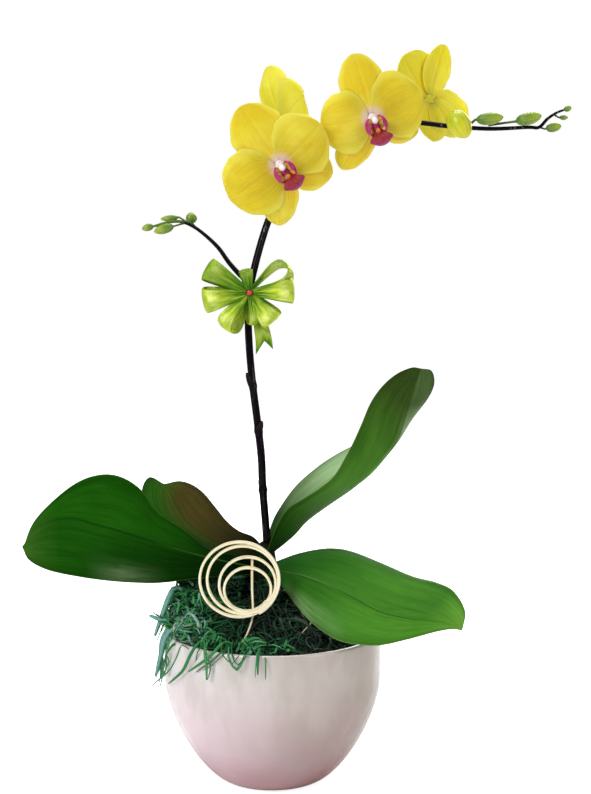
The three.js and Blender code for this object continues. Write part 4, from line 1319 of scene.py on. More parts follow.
LEAVES = (
    Leaf(
        "leaf_left",
        ((-8, 3, 155), (-31, 0, 160), (-49, -4, 165), (-78, -12, 175), (-102, -20, 185),
         (-123, -27, 193), (-145, -34, 200), (-164, -39, 195), (-176, -42, 180)),
        ((-8, 6, 158), (-32, 12, 164), (-49, 15, 168), (-67, 17, 182), (-86, 16, 195), (-98, 11, 214),
         (-114, 1, 225), (-131, -10, 226), (-148, -21, 218), (-168, -34, 199), (-176, -42, 180)),
        ((-8, -1, 152), (-31, -6, 152), (-52, -13, 152), (-78, -24, 151), (-99, -32, 153),
         (-118, -39, 156), (-138, -43, 160), (-158, -45, 165), (-171, -45, 172), (-176, -42, 180)),
        3.0,
        # The near-black root tone, reaching further along on the front side, is painted shade at the root
        # of the leaf.
        LeafFinish("leaf_left_wax", srgb(4, 14, 8), srgb(30, 88, 16), srgb(28, 84, 16), srgb(66, 106, 42),
                   srgb(14, 52, 10), srgb(70, 112, 36), 0.6, shine=0.0, bloom=0.36, bloom_at=0.45,
                   root_to=(0.28, 0.66)),
    ),
    Leaf(
        "leaf_left_rear",
        ((-6, 4, 160), (-17, 10, 164), (-30, 17, 167), (-45, 24, 172), (-62, 31, 182), (-72, 36, 195),
         (-82, 40, 212)),
        ((-5, 6, 168), (-14, 12, 177), (-25, 20, 180), (-35, 30, 186), (-43, 38, 194), (-52, 43, 204),
         (-61, 47, 210), (-71, 47, 213), (-82, 40, 212)),
        ((-8, 5, 155), (-18, 14, 156), (-34, 23, 160), (-53, 31, 165), (-70, 38, 170), (-84, 44, 178),
         (-95, 48, 190), (-100, 50, 204), (-94, 47, 216), (-82, 40, 212)),
        -2.0,
        LeafFinish("leaf_left_rear_wax", srgb(16, 20, 6), srgb(72, 63, 31), srgb(44, 96, 26),
                   srgb(54, 92, 30), srgb(50, 46, 22), srgb(90, 66, 40), 0.4, shine=0.02,
                   split=(0.42, 0.82)),
    ),
    Leaf(
        "leaf_right_upright",
        ((-5, 3, 164), (14, 0, 180), (25, -1, 192), (41, -1, 204), (57, 0, 215), (72, 1, 227),
         (82, 1, 239), (91, 0, 253), (98, 0, 276), (103, 2, 291), (108, 6, 303)),
        ((-6, 7, 168), (-1, 15, 186), (5, 20, 197), (18, 25, 214), (33, 29, 227), (46, 31, 235),
         (62, 31, 243), (78, 27, 249), (93, 22, 256), (104, 17, 267), (113, 12, 279), (118, 9, 291),
         (116, 7, 301), (108, 6, 303)),
        ((-5, -3, 166), (3, -14, 190), (11, -22, 204), (21, -27, 212), (34, -29, 221), (45, -28, 230),
         (54, -22, 244), (63, -16, 263), (71, -11, 280), (80, -7, 292), (90, -3, 300), (101, 2, 304),
         (108, 6, 303)),
        -3.0,
        # The pale blade tone on the back half, the inner face in view, is a painted sheen.
        LeafFinish("leaf_upright_wax", srgb(18, 60, 10), srgb(190, 226, 178), srgb(80, 136, 46),
                   srgb(60, 82, 34), srgb(12, 22, 8), srgb(90, 112, 56), 0.36, 0.45, 0.75, 0.03,
                   tip_back=0.92, root_to=(0.3, 0.3)),
    ),
    Leaf(
        "leaf_right_low",
        ((-5, -1, 156), (11, -14, 156), (25, -24, 155), (42, -36, 151), (58, -48, 145), (76, -59, 138),
         (96, -68, 135), (117, -75, 134), (132, -79, 131)),
        ((-4, 3, 158), (8, 2, 163), (18, 0, 167), (33, -4, 171), (46, -9, 173), (59, -16, 172),
         (79, -28, 166), (100, -42, 160), (116, -54, 158), (127, -63, 154), (134, -74, 143),
         (132, -79, 131)),
        ((-5, -4, 154), (6, -22, 149), (18, -38, 137), (26, -48, 130), (37, -57, 123), (47, -64, 119),
         (58, -70, 118), (75, -76, 119), (94, -80, 124), (113, -82, 130), (124, -82, 132),
         (132, -79, 131)),
        3.0,
        LeafFinish("leaf_low_wax", srgb(34, 96, 30), srgb(70, 134, 38), srgb(76, 142, 40),
                   srgb(118, 174, 70), srgb(16, 58, 14), srgb(140, 176, 96), bloom=0.9, bloom_at=0.26),
    ),
)


# ---------------------------------------------------------------- flower spike and buds


@dataclass(frozen=True)
class Bud:
    """A bud on its stalk: where the stalk starts, the bud's base and tip, and its breadth."""

    start: Point
    base: Point
    tip: Point
    width: float

    @property
    def big(self) -> bool:
        """Whether it is about to open."""
        return self.width > 12

    def stalk(self) -> tuple[Array, float]:
        """Knots and radius of the stalk, which runs into the bud's base.

        Returns:
            The knots, one row each, and the radius.
        """
        back = unit(np.subtract(self.base, self.tip))
        bend, end = (-1.0, -2.0) if self.big else (0.8, -0.2)
        knots = np.array([self.start, self.base + bend * back, self.base + end * back])
        return knots, min(max(0.1 * self.width, 0.7), 1.1)

    def skin(self) -> Skin:
        """A drop with three seams.

        The radius is a share of the width: a constant plus a sine hump, less a seam that is the
        eighth power of the cosine of one and a half times the angle.

        Returns:
            The closed drop.
        """
        t = 1 - (1 - np.linspace(0, 1, 34)) ** 1.5
        closing = np.sqrt(np.clip(1 - np.abs(2 * t - 1) ** 7, 0, 1))
        swell = np.sin(math.pi * np.minimum(0.08 + 0.9 * t, 1)) ** 0.75
        radius = self.width * (0.12 + 0.37 * swell) * np.maximum(closing, 0.04)
        angle = around(36)
        seam = 1 - 0.07 * np.cos(1.5 * angle) ** 8
        section = (radius[:, None] * seam)[..., None] * circle(angle)
        path = np.array(self.base) + (np.array(self.tip) - self.base) * t[:, None]
        return swept(path, section, (0.1, 1.0, 0.2))


BUDS = {
    "bud_right_1": Bud((131, 3, 477), (127.5, -7, 486.5), (138, -13, 468.5), 17.5),
    "bud_right_2": Bud((140, 1, 477), (145, -3, 481), (164, -6, 483), 9.5),
    "bud_right_3": Bud((154, 0, 477.5), (173, -3, 480), (191, -6, 484), 9.5),
    "bud_right_4": Bud((190, 0, 476), (195, 0, 475), (206, 0, 477), 7),
    "bud_right_5": Bud((202, -1, 486), (207.4, -1, 488.1), (212.8, -1, 490), 4.5),
    "bud_right_6": Bud((200, -1, 485), (205, 2, 483), (211, 3, 483), 4),
    "bud_left_1": Bud((-50, -1, 401), (-57, 4, 408), (-59, 7, 415.5), 8.4),
    "bud_left_2": Bud((-61, -2, 408.6), (-70, -5, 406), (-84, -6, 402), 7.4),
    "bud_left_3": Bud((-58, -1.5, 407.4), (-67, 2, 412), (-80, 4, 411), 4.6),
    "bud_left_4": Bud((-80, -2, 407.5), (-84.5, -2, 406), (-93, -2, 404), 5.4),
}


@dataclass
class FlowerSpike:
    """The arching spike with its side branch, scale leaves and stalks.

    Attributes:
        path: Points of the spike.
        radii: Its radius by share of its length.
        branch: Points of the side branch.
        scales: Root and tip of each scale leaf.
    """

    path: Rail = (
        (-4, 0, 176.7), (-5, -1, 192), (-7, -2, 218), (-8, -2, 240), (-11, 0, 266), (-14, 0, 290),
        (-16, 0, 312), (-17, 0, 331), (-17, 1, 345), (-16, 2, 358), (-14, 3, 370), (-9, 6, 390),
        (-3, 10, 409), (3, 13, 422), (11, 15, 439), (22, 16, 453), (36, 16, 465), (53, 15, 473),
        (74, 12, 478), (98, 8, 480), (126, 4, 477), (155, 1, 475), (182, 0, 476), (190, 0, 476),
        (196, -1, 482), (202, -1, 486), (207, -1, 488),
    )
    radii: tuple[Span, ...] = ((0, 2.8), (0.49, 2.6), (0.68, 2.1), (0.88, 1.5), (0.965, 1.2), (1, 0.8))
    branch: Rail = (
        (-15, 2, 362), (-19, 2, 367), (-24, 2, 372), (-31, 2, 380), (-38, 1, 390), (-46, 0, 398),
        (-55, -1, 405), (-64, -2, 409), (-73, -2, 409), (-84, -2, 406),
    )
    scales: tuple[tuple[Point, Point], ...] = (
        ((-14.5, -1.5, 291), (-18.4, -2.6, 301)), ((-10, -2, 258), (-7.4, -3.6, 266)),
        ((-6, -2, 215), (-9.4, -3.6, 223)),
    )

    def stem(self) -> Skin:
        """The spike: a tube that swells at its joints, with twisted ridges.

        Returns:
            The closed tube.
        """
        share = np.linspace(0, 1, 420)
        path = spline(self.path, share)
        radii = np.interp(share, *np.array(self.radii).T)
        for root, _ in self.scales:
            radii += 0.5 * np.exp(-(((path[:, 2] - root[2]) / 2.2) ** 2)) * (share < 0.4)
        return rod(path, radii, 20, (0.0, 1.0, 0.12), 0.045, 5, 16.0)

    def side_branch(self) -> Skin:
        """The side branch: a tube that narrows to its end."""
        share = np.linspace(0, 1, 70)
        return rod(spline(self.branch, share), 2.0 - 1.1 * share, 14, (0.0, 1.0, 0.1), 0.05, 4, 6.0)

    def scale_leaf(self, root: Point, tip: Point) -> Skin:
        """A pointed scale leaf: a sheet that wraps half round the spike and narrows to its tip.

        Args:
            root: Where it joins the spike.
            tip: Where it ends.

        Returns:
            The closed sheet.
        """
        u = np.linspace(0, 0.97, 20)[:, None, None]
        angle = 1.25 * np.linspace(-1, 1, 11)[None, :, None]
        away = unit(np.array([tip[0] - root[0], 0, 0.0]))
        near = np.array([0, -1.0, 0])
        wrap = 2.7 * (1 - u**2) ** 0.7 * (near * np.cos(angle) - away * np.sin(angle))
        return sheet_skin(np.array(root) + (np.array(tip) - root) * u + wrap - near * (1 - u), 0.5)

    def stalk(self, knots: Array, radius: float) -> Skin:
        """A flower or bud stalk: a tube through its knots that narrows a little and flares at its end.

        Args:
            knots: Places that it passes.
            radius: Its radius at the start.

        Returns:
            The closed tube.
        """
        share = np.linspace(0, 1, 26)
        radii = radius * (1 - 0.15 * share + 0.35 * share**8)
        return rod(spline(knots, share), radii, 12, (0.31, 0.2, -0.93), 0.03, 4, 3.0)

    def build(self, stalks: Sequence[tuple[Array, float]]) -> None:
        """Builds the spike with the given stalks, each as its knots and radius, and the buds.

        Args:
            stalks: The knots and the radius of each flower stalk.
        """
        pale, young, scale, branch, green, ripe = (FleshFinish(*finish).material() for finish in (
            ("stalk_skin", srgb(44, 36, 30), srgb(214, 206, 48), srgb(120, 110, 30), 0.25, 12.0, 0.4,
             (0.05, 0.6), 0.2),
            ("bud_stalk_skin", srgb(24, 24, 14), srgb(96, 116, 44), srgb(30, 34, 16), 0.4, 12.0, 0.4,
             (0.1, 0.9), 0.2),
            ("scale_skin", srgb(14, 8, 14), srgb(40, 32, 30), srgb(12, 6, 12), 0.5, 30.0, 0.5,
             (0.0, 1.0), 0.08),
            ("branch_skin", srgb(4, 3, 6), srgb(96, 130, 44), srgb(18, 20, 12), 0.4, 10.0, 0.36,
             (0.72, 0.86), 0.1),
            ("bud_skin", srgb(70, 114, 24), srgb(170, 190, 46), srgb(60, 104, 22), 0.5, 18.0, 0.36,
             (0.0, 0.9)),
            ("ripe_bud_skin", srgb(176, 190, 22), srgb(232, 222, 30), srgb(140, 160, 20), 0.35, 18.0, 0.36),
        ))
        parts = [(self.stem(), StemFinish().material()), (self.side_branch(), branch)]
        parts += [(self.scale_leaf(root, tip), scale) for root, tip in self.scales]
        parts += [(self.stalk(*bud.stalk()), young) for bud in BUDS.values()]
        parts += [(self.stalk(knots, radius), pale) for knots, radius in stalks]
        make_piece("flower_spike", parts)
        for name, bud in BUDS.items():
            make_piece(name, [(bud.skin(), ripe if bud.big else green)])


# ---------------------------------------------------------------- blooms


class TepalKind(Enum):
    """Sepals lie behind the petals and are narrower.

    Each value gives the height of the middle, the cup across, the ruffle of the rim, and the
    powers of the outline at the root and at the tip.
    """

    SEPAL = (-0.9, -2.5, 0.35, 0.68, 0.58)
    PETAL = (0.8, -2.0, 1.2, 0.56, 0.56)


@dataclass(frozen=True)
class Tepal:
    """A petal or sepal: its direction in degrees, length and width, and a twist."""

    kind: TepalKind
    angle: float
    length: float
    width: float
    twist: float = 0.0

    def skin(self, seed: int) -> Skin:
        """The tepal in the bloom's own axes, thin at the rim; its tone is the way out.

        Half the breadth is the share along to one power times what is left to another, scaled to
        the width, plus a narrow root. The lift rises linearly, bends back with the square of the
        share along, and cups with the square of the share across.

        Args:
            seed: A number that shifts its ruffles.

        Returns:
            The closed sheet.
        """
        depth, cup, ruffle, root_power, tip_power = self.kind.value
        u = (1 - (1 - np.linspace(0, 1, 54)[:, None]) ** 2.1) * 0.9985
        v = np.linspace(-1, 1, 39)[None]
        widest = root_power / (root_power + tip_power)
        breadth = (u / widest) ** root_power * ((1 - u) / (1 - widest)) ** tip_power
        half = self.width / 2 * breadth + 2.4 * (1 - u) ** 2
        uneven = 0.03 * np.sin(9 * u + 2.6 * np.sign(v) + 2.1 * seed) + 0.014 * np.sin(23 * u + 1.7 * seed)
        across = half * v * (1 + uneven * np.abs(v) ** 4)
        turn = math.radians(self.twist) * np.minimum(2 * u, 1)
        wave = ruffle * np.sin(9 * u + 2 * v) * np.abs(v) ** 3 * u
        crease = 0.35 * np.sin(6.5 * v + 0.9 * seed) * np.abs(v) - 0.8 * np.exp(-((v / 0.06) ** 2))
        lift = depth + 5 * u - 10 * u**2 + cup * v**2 * breadth + wave + crease * np.sin(math.pi * u)
        radial = 2.5 + (self.length - 2.5) * u
        level, height = across * np.cos(turn), lift + across * np.sin(turn)
        c, s = math.cos(math.radians(self.angle)), math.sin(math.radians(self.angle))
        middle = np.stack([radial * c - level * s, radial * s + level * c, height], axis=-1)
        skin = sheet_skin(middle, 0.9 - 0.45 * np.abs(v) ** 6)
        skin.tone = np.hypot(skin.points[:, 0], skin.points[:, 1]) / 50
        return skin


@dataclass(frozen=True)
class Bloom:
    """An open flower: its place, the way it faces, where its stalk starts, and its tepals.

    Attributes:
        centre: The middle of the flower.
        turn: Degrees that it faces to the right of the viewer.
        nod: Degrees that it faces up.
        roll: Degrees that it is rolled.
        stalk_from: Where its stalk leaves the spike.
        tepals: Its sepals and petals.
        via: Places that the stalk passes on its way.
        hub: Radius of the ball in its middle.
    """

    centre: Point
    turn: float
    nod: float
    roll: float
    stalk_from: Point
    tepals: tuple[Tepal, ...]
    via: Rail = ()
    hub: float = 3.6

    @property
    def turned_away(self) -> bool:
        """Whether it shows its back to the viewer."""
        return self.turn > 90

    def place(self) -> Array:
        """The matrix that turns and moves the bloom: x right, y to the top sepal, z ahead.

        Returns:
            A 4 by 4 matrix.
        """
        turn, nod, roll = (math.radians(a) for a in (self.turn, self.nod, self.roll))
        face = np.array([math.sin(turn) * math.cos(nod), -math.cos(turn) * math.cos(nod), math.sin(nod)])
        right = np.array([math.cos(turn), math.sin(turn), 0.0])
        up = np.cross(face, right)
        matrix = np.eye(4)
        matrix[:3, 0] = right * math.cos(roll) + up * math.sin(roll)
        matrix[:3, 1] = up * math.cos(roll) - right * math.sin(roll)
        matrix[:3, 2] = face
        matrix[:3, 3] = self.centre
        return matrix

    def stalk(self) -> tuple[Array, float]:
        """Knots and radius of its stalk, which comes in from behind.

        Returns:
            The knots, one row each, and the radius.
        """
        matrix = self.place()
        reach, radius = (6.0, 1.1) if self.turned_away else (13.0, 1.4)
        behind = [matrix[:3, 3] - matrix[:3, 2] * distance for distance in (reach, self.hub - 0.6)]
        return np.vstack([self.stalk_from, *self.via, *behind]), radius

    def column_skin(self) -> Skin:
        """The column: a tube whose radius follows a table, with a blunt cap that leans forward.

        Returns:
            The closed tube.
        """
        share = 1 - (1 - np.linspace(0, 1, 40)) ** 1.4
        path = spline([[0, 1, 3.8], [0, 0.8, 6.5], [0, 0, 9.5], [0, -1.4, 12.4]], share)
        radii = np.interp(share, [0, 0.4, 0.6, 0.78, 0.9, 1], [1.8, 2.0, 2.1, 2.5, 2.2, 1.6])
        radii *= np.sqrt(np.clip(1 - ((share - 0.72) / 0.285) ** 2 * (share > 0.72), 0.0016, 1))
        return rod(path, radii, 28, (1.0, 0.0, 0.0), 0.06, 2)

    def side_lobe(self, sign: float) -> Skin:
        """An upright side lobe of the lip: part of a cup round the throat, curled in at its rim.

        Args:
            sign: 1 for the right lobe and -1 for the left one.

        Returns:
            The closed sheet.
        """
        u = np.linspace(0.0, 1.0, 28)[:, None]
        v = np.linspace(-1, 1, 25)[None]
        angle = v * (1.12 - 0.3 * u) + 0.1
        reach = 2.6 + 5.2 * np.sin((2.75 - 0.8 * v**2) * u) ** 0.9 - 0.4 * np.abs(v) ** 3
        z = 4.4 + (8.0 - 2.0 * v**2) * u + 0.35 * np.sin(7 * v + 4 * u) * u
        middle = np.stack([sign * reach * np.cos(angle), -4.8 + 1.1 * reach * np.sin(angle), z], axis=-1)
        return sheet_skin(middle, 0.7)

    def front_lobe(self) -> Skin:
        """The front lobe: a blade along a spine, broad near its blunt end, folded down at its sides.

        Returns:
            The closed sheet.
        """
        u = np.linspace(0, 0.985, 48)
        v = np.linspace(-1, 1, 25)[None]
        knots = [[0, -6, 6], [0.2, -9.4, 9], [0.5, -12.8, 10], [0.9, -16.2, 9.4], [1.2, -19.6, 7.6]]
        spine = spline(knots, u)
        half = np.interp(u, [0, 0.25, 0.5, 0.72, 0.86, 0.95, 1], [1.6, 2.6, 5.2, 7.9, 8.6, 6.4, 3.4])
        half = np.convolve(np.pad(half, 2, mode="edge"), np.ones(5) / 5, mode="valid")[:, None]
        fold = v**2 * (half / 8)
        drop = -2.6 * fold + 0.7 * np.exp(-((v / 0.12) ** 2)) * (u[:, None] < 0.9)
        return sheet_skin(spine[:, None] + np.stack([half * v, 2.2 * fold, drop], axis=-1), 0.8)

    def callus(self) -> Skin:
        """The yellow callus between the lobes: a lump with two horns.

        Returns:
            The closed lump.
        """
        skin = ball(1.0, 20, 28)
        x, y, z = skin.points.T
        horns = 1 + 0.25 * np.maximum(z, 0) * np.cos(2 * np.arctan2(y, x))
        skin.points = skin.points * horns[:, None] * [1.7, 2.1, 1.8] + [0, -8.0, 9.0]
        return skin

    def throat(self) -> Skin:
        """The throat that joins the lobes: a flattened ball.

        Returns:
            The closed ball.
        """
        skin = ball(1.0, 16, 24)
        skin.points = skin.points * [3.0, 3.2, 2.4] + [0, -5.6, 5.6]
        return skin


def tepals(sepals: Sequence[Sequence[float]], petals: Sequence[Sequence[float]]) -> tuple[Tepal, ...]:
    """Sepals, the top one first, and petals from rows of angle, length, width and twist."""
    kinds = ((TepalKind.SEPAL, sepals), (TepalKind.PETAL, petals))
    return tuple(Tepal(kind, *row) for kind, rows in kinds for row in rows)


BLOOMS = {
    "bloom_front_left": Bloom(
        (6, -22, 449), 8, -10, 36, (15, 15.5, 445),
        tepals([(89, 48.5, 38), (236, 44, 26), (314, 39, 29)], [(9, 40, 46), (180, 42.5, 50)]),
    ),
    "bloom_front_right": Bloom(
        (71, -10, 482), 8, -10, 20, (62, 14, 476),
        tepals([(88, 46, 31), (222, 42, 24), (323, 36, 24)], [(8, 39, 48), (171, 36.5, 44)]),
    ),
    "bloom_rear_left": Bloom(
        (8, 45, 482), -66, -14, 24, (36, 16, 465),
        tepals([(94, 46, 27, 35), (227, 43, 25), (313, 38, 24)], [(2, 40, 46), (178, 42, 46)]),
        ((33, 37, 473),),
    ),
    "bloom_rear_right": Bloom(
        (115, 38, 498), 215, -6, 8, (97, 8.5, 480),
        tepals([(99, 41, 23), (224, 34, 24), (268, 32, 26)], [(41, 39, 42), (205, 37, 34)]),
        ((105, 22, 492),),
    ),
}


@dataclass
class BloomDresser:
    """Builds all blooms with one set of materials."""

    blooms: dict[str, Bloom]

    def build(self) -> None:
        """Builds each bloom's tepals, column and lip."""
        petal, top, side, rear, away = (finish.material() for finish in (
            TepalFinish("petal_skin"),
            TepalFinish("top_sepal_skin", body=srgb(232, 208, 22), deep=srgb(216, 186, 6)),
            TepalFinish("side_sepal_skin", deep=srgb(214, 176, 4), stripes=0.85),
            TepalFinish("rear_petal_skin", srgb(230, 224, 26), srgb(212, 204, 6),
                        throat=srgb(206, 204, 60), blush=0.0),
            # A brighter copy of the petal skin: painted light on the bloom that shows its back, turned away
            # from the lamps.
            TepalFinish("brightened_back_petal_skin", srgb(255, 243, 40), srgb(250, 224, 12), srgb(255, 244, 80),
                        srgb(206, 204, 60), 0.0),
        ))
        white, magenta, striped, yellow = (FleshFinish(*finish).material() for finish in (
            ("column_skin", srgb(246, 226, 238), srgb(255, 252, 250), srgb(214, 150, 196), 0.35, 8.0, 0.3),
            ("lip_front_skin", srgb(160, 0, 16), srgb(176, 26, 140), srgb(80, 0, 26), 0.5, 12.0, 0.3,
             (0.66, 1.1)),
            ("lip_side_skin", srgb(255, 222, 90), srgb(184, 16, 118), srgb(160, 4, 36), 0.8, 9.0, 0.32,
             (0.34, 0.52)),
            ("callus_skin", srgb(206, 96, 26), srgb(228, 150, 50), srgb(110, 4, 24), 0.95, 10.0, 0.3),
        ))
        for number, (name, bloom) in enumerate(self.blooms.items()):
            behind = away if bloom.turned_away else rear
            hub, *skins = (behind,) * 6 if bloom.centre[1] > 0 else (white, top, side, side, petal, petal)
            parts = [(ball(bloom.hub, 18, 24, 0.03), hub)]
            parts += [(tepal.skin(3 * number + i), skins[i]) for i, tepal in enumerate(bloom.tepals)]
            lip = [(bloom.front_lobe(), magenta), (bloom.throat(), striped), (bloom.callus(), yellow)]
            lip += [(bloom.side_lobe(sign), striped) for sign in (-1.0, 1.0)]
            pieces = {"tepals": parts, "column": [(bloom.column_skin(), white)], "lip": lip}
            for slot, dressed in pieces.items():
                placed = [(skin.moved(bloom.place()), material) for skin, material in dressed]
                make_piece(f"{name}_{slot}", placed)


# ---------------------------------------------------------------- bow and cane


@dataclass(frozen=True)
class Loop:
    """A loop of the bow: heading, length, width, opening, tilt about its length, lean forward, shade."""

    angle: float
    length: float
    width: float
    opening: float
    tilt: float
    lean: float
    shade: float = 0.0


@dataclass
class RibbonBow:
    """A satin bow with a swallow-tailed end, its knot and band round the spike and its bead."""

    centre: Point = (-16, -6, 359)
    band_centre: Point = (-16, 2, 357.5)
    knot_radius: float = 4.8
    bead_radius: float = 1.9
    band_radii: Point = (3.9, 0.6, 3.4)
    thickness: float = 0.5
    ribbon_flat: Span = (0.016, 0.46)
    loops: tuple[Loop, ...] = (
        Loop(151, 35.5, 17, 11, 12, 4, 0.6), Loop(190, 34, 18, 12, -8, 0, 0.12),
        Loop(237, 31.5, 15, 12, 38, 5),
        Loop(277, 23, 8, 7, -20, 7, 0.35), Loop(310, 27, 17, 11, 8, 4), Loop(2, 32, 18, 12, -6, 2),
        Loop(31, 34.5, 15, 14.5, 56, 0, 0.1), Loop(100, 17, 10, 7, 10, 3, 0.7),
    )
    tail: Rail = ((-15, -3, 356), (-11, -6, 347), (-8, -7, 336), (-6, -6, 326), (-5.5, -5, 318))
    tail_shade: float = 0.5

    def loop_skin(self, loop: Loop, number: int) -> Skin:
        """One loop: out in front and back behind, gathered to pleats at the knot.

        The reach is a sine of the share along to a power, the opening a full sine, and the pleats
        are a wave across that dies away from the knot.

        Args:
            loop: The loop's sizes.
            number: A number that shifts its pleats.

        Returns:
            The closed sheet.
        """
        heading, tilt = math.radians(loop.angle), math.radians(loop.tilt)
        out = np.array([math.cos(heading), 0.0, math.sin(heading)])
        front = np.array([0.0, -1.0, 0.0])
        side = np.array([-out[2], 0.0, out[0]]) * math.cos(tilt) + front * math.sin(tilt)
        rise = np.cross(out, side)
        rise *= math.copysign(1, rise @ front)
        u = np.linspace(0, 1, 64)[:, None]
        v = np.linspace(-1, 1, 21)[None]
        swing = np.sin(math.pi * u)
        reach = 1.2 + (loop.length - 1.2) * swing**0.75 - 1.4 * np.abs(v) ** 3 * swing**2
        half = 1.6 + (loop.width / 2 - 1.6) * swing**0.6
        pleat = 0.55 * np.cos(3 * math.pi * v + number) * (1 - swing) ** 1.5
        pleat = pleat + 0.5 * np.sin(2.6 * v + number) * swing
        opening = 1.3 * (1 - 2 * u) + loop.opening / 2 * np.sin(FULL_TURN * u) + pleat
        lean = loop.lean * swing + 3.6 * (1 - swing) ** 2 + 0 * v
        ways = ((reach, out), (half * v, side), (opening, rise), (lean, front))
        middle = np.array(self.centre) + sum(amount[..., None] * way for amount, way in ways)
        return sheet_skin(middle, self.thickness, loop.shade)

    def tail_skin(self) -> Skin:
        """The hanging end: a strip along a spine, notched to a swallow tail.

        Returns:
            The closed sheet.
        """
        u = np.linspace(0, 1, 40)
        v = np.linspace(-1, 1, 21)[None]
        late = np.maximum(u - 0.55, 0)[:, None] / 0.45
        drop = 6 * (1 - np.abs(v)) * late - 4 * np.maximum(-v, 0) * late
        curl = 0.8 * v + 0.7 * np.sin(3 * v) * u[:, None]
        offset = np.stack([(4.2 + 2.0 * u)[:, None] * v, curl, drop], axis=-1)
        return sheet_skin(spline(self.tail, u)[:, None] + offset, self.thickness, self.tail_shade)

    def knot_skin(self) -> Skin:
        """The knot: a ball with pleats that run round it.

        Returns:
            The closed ball.
        """
        skin = ball(self.knot_radius, 30, 44)
        pleat = 1 - 0.07 * np.abs(np.sin(1.1 * skin.points[:, 0] + 0.3 * skin.points[:, 2]))
        skin.points = skin.points * pleat[:, None] + np.array(self.centre)
        return skin

    def band_skin(self) -> Skin:
        """The band round the spike: a ring of rounded section, joined up both ways.

        Returns:
            The closed ring.
        """
        rings, sides = 40, 24
        radius, swell, rise = self.band_radii
        angle = around(sides)
        turn = around(rings)[:, None]
        reach = radius + swell * np.cos(angle)
        flat = [reach * np.cos(turn), reach * np.sin(turn)]
        ring = np.stack([*flat, rise * np.sin(angle) + 0 * turn], axis=-1)
        quads, uv = grid_faces(rings + 1, sides, wrap=True)
        points = (ring + self.band_centre).reshape(-1, 3)
        return Skin(points, quads % (rings * sides), uv, np.zeros(rings * sides))

    def bead_skin(self) -> Skin:
        """The bead: a faceted ball with a dimple at each end.

        Returns:
            The closed ball.
        """
        skin = ball(self.bead_radius, 24, 30, 0.05)
        facet = 1 - 0.04 * np.cos(6 * np.arctan2(skin.points[:, 1], skin.points[:, 0])) ** 2
        shift = [0, -self.knot_radius - 0.3 - self.bead_radius, 0]
        skin.points = skin.points * facet[:, None] + np.array(self.centre) + shift
        return skin

    def build(self) -> None:
        """Builds the ribbon, its knot and its bead."""
        satin = SatinFinish().material()
        strips = [self.loop_skin(loop, i) for i, loop in enumerate(self.loops)] + [self.tail_skin()]
        ribbon = make_piece("ribbon_bow", [(strip, satin) for strip in strips])
        # A darker copy of the satin: painted shade on the knot in the middle of the bow.
        shaded_knot_satin = SatinFinish("shaded_knot_satin", srgb(132, 168, 40), srgb(70, 100, 18)).material()
        knot_parts = [(self.knot_skin(), shaded_knot_satin), (self.band_skin(), shaded_knot_satin)]
        knot = make_piece("bow_knot", knot_parts, "ribbon_bow")
        make_piece("bow_bead", [(self.bead_skin(), BeadFinish().material())])


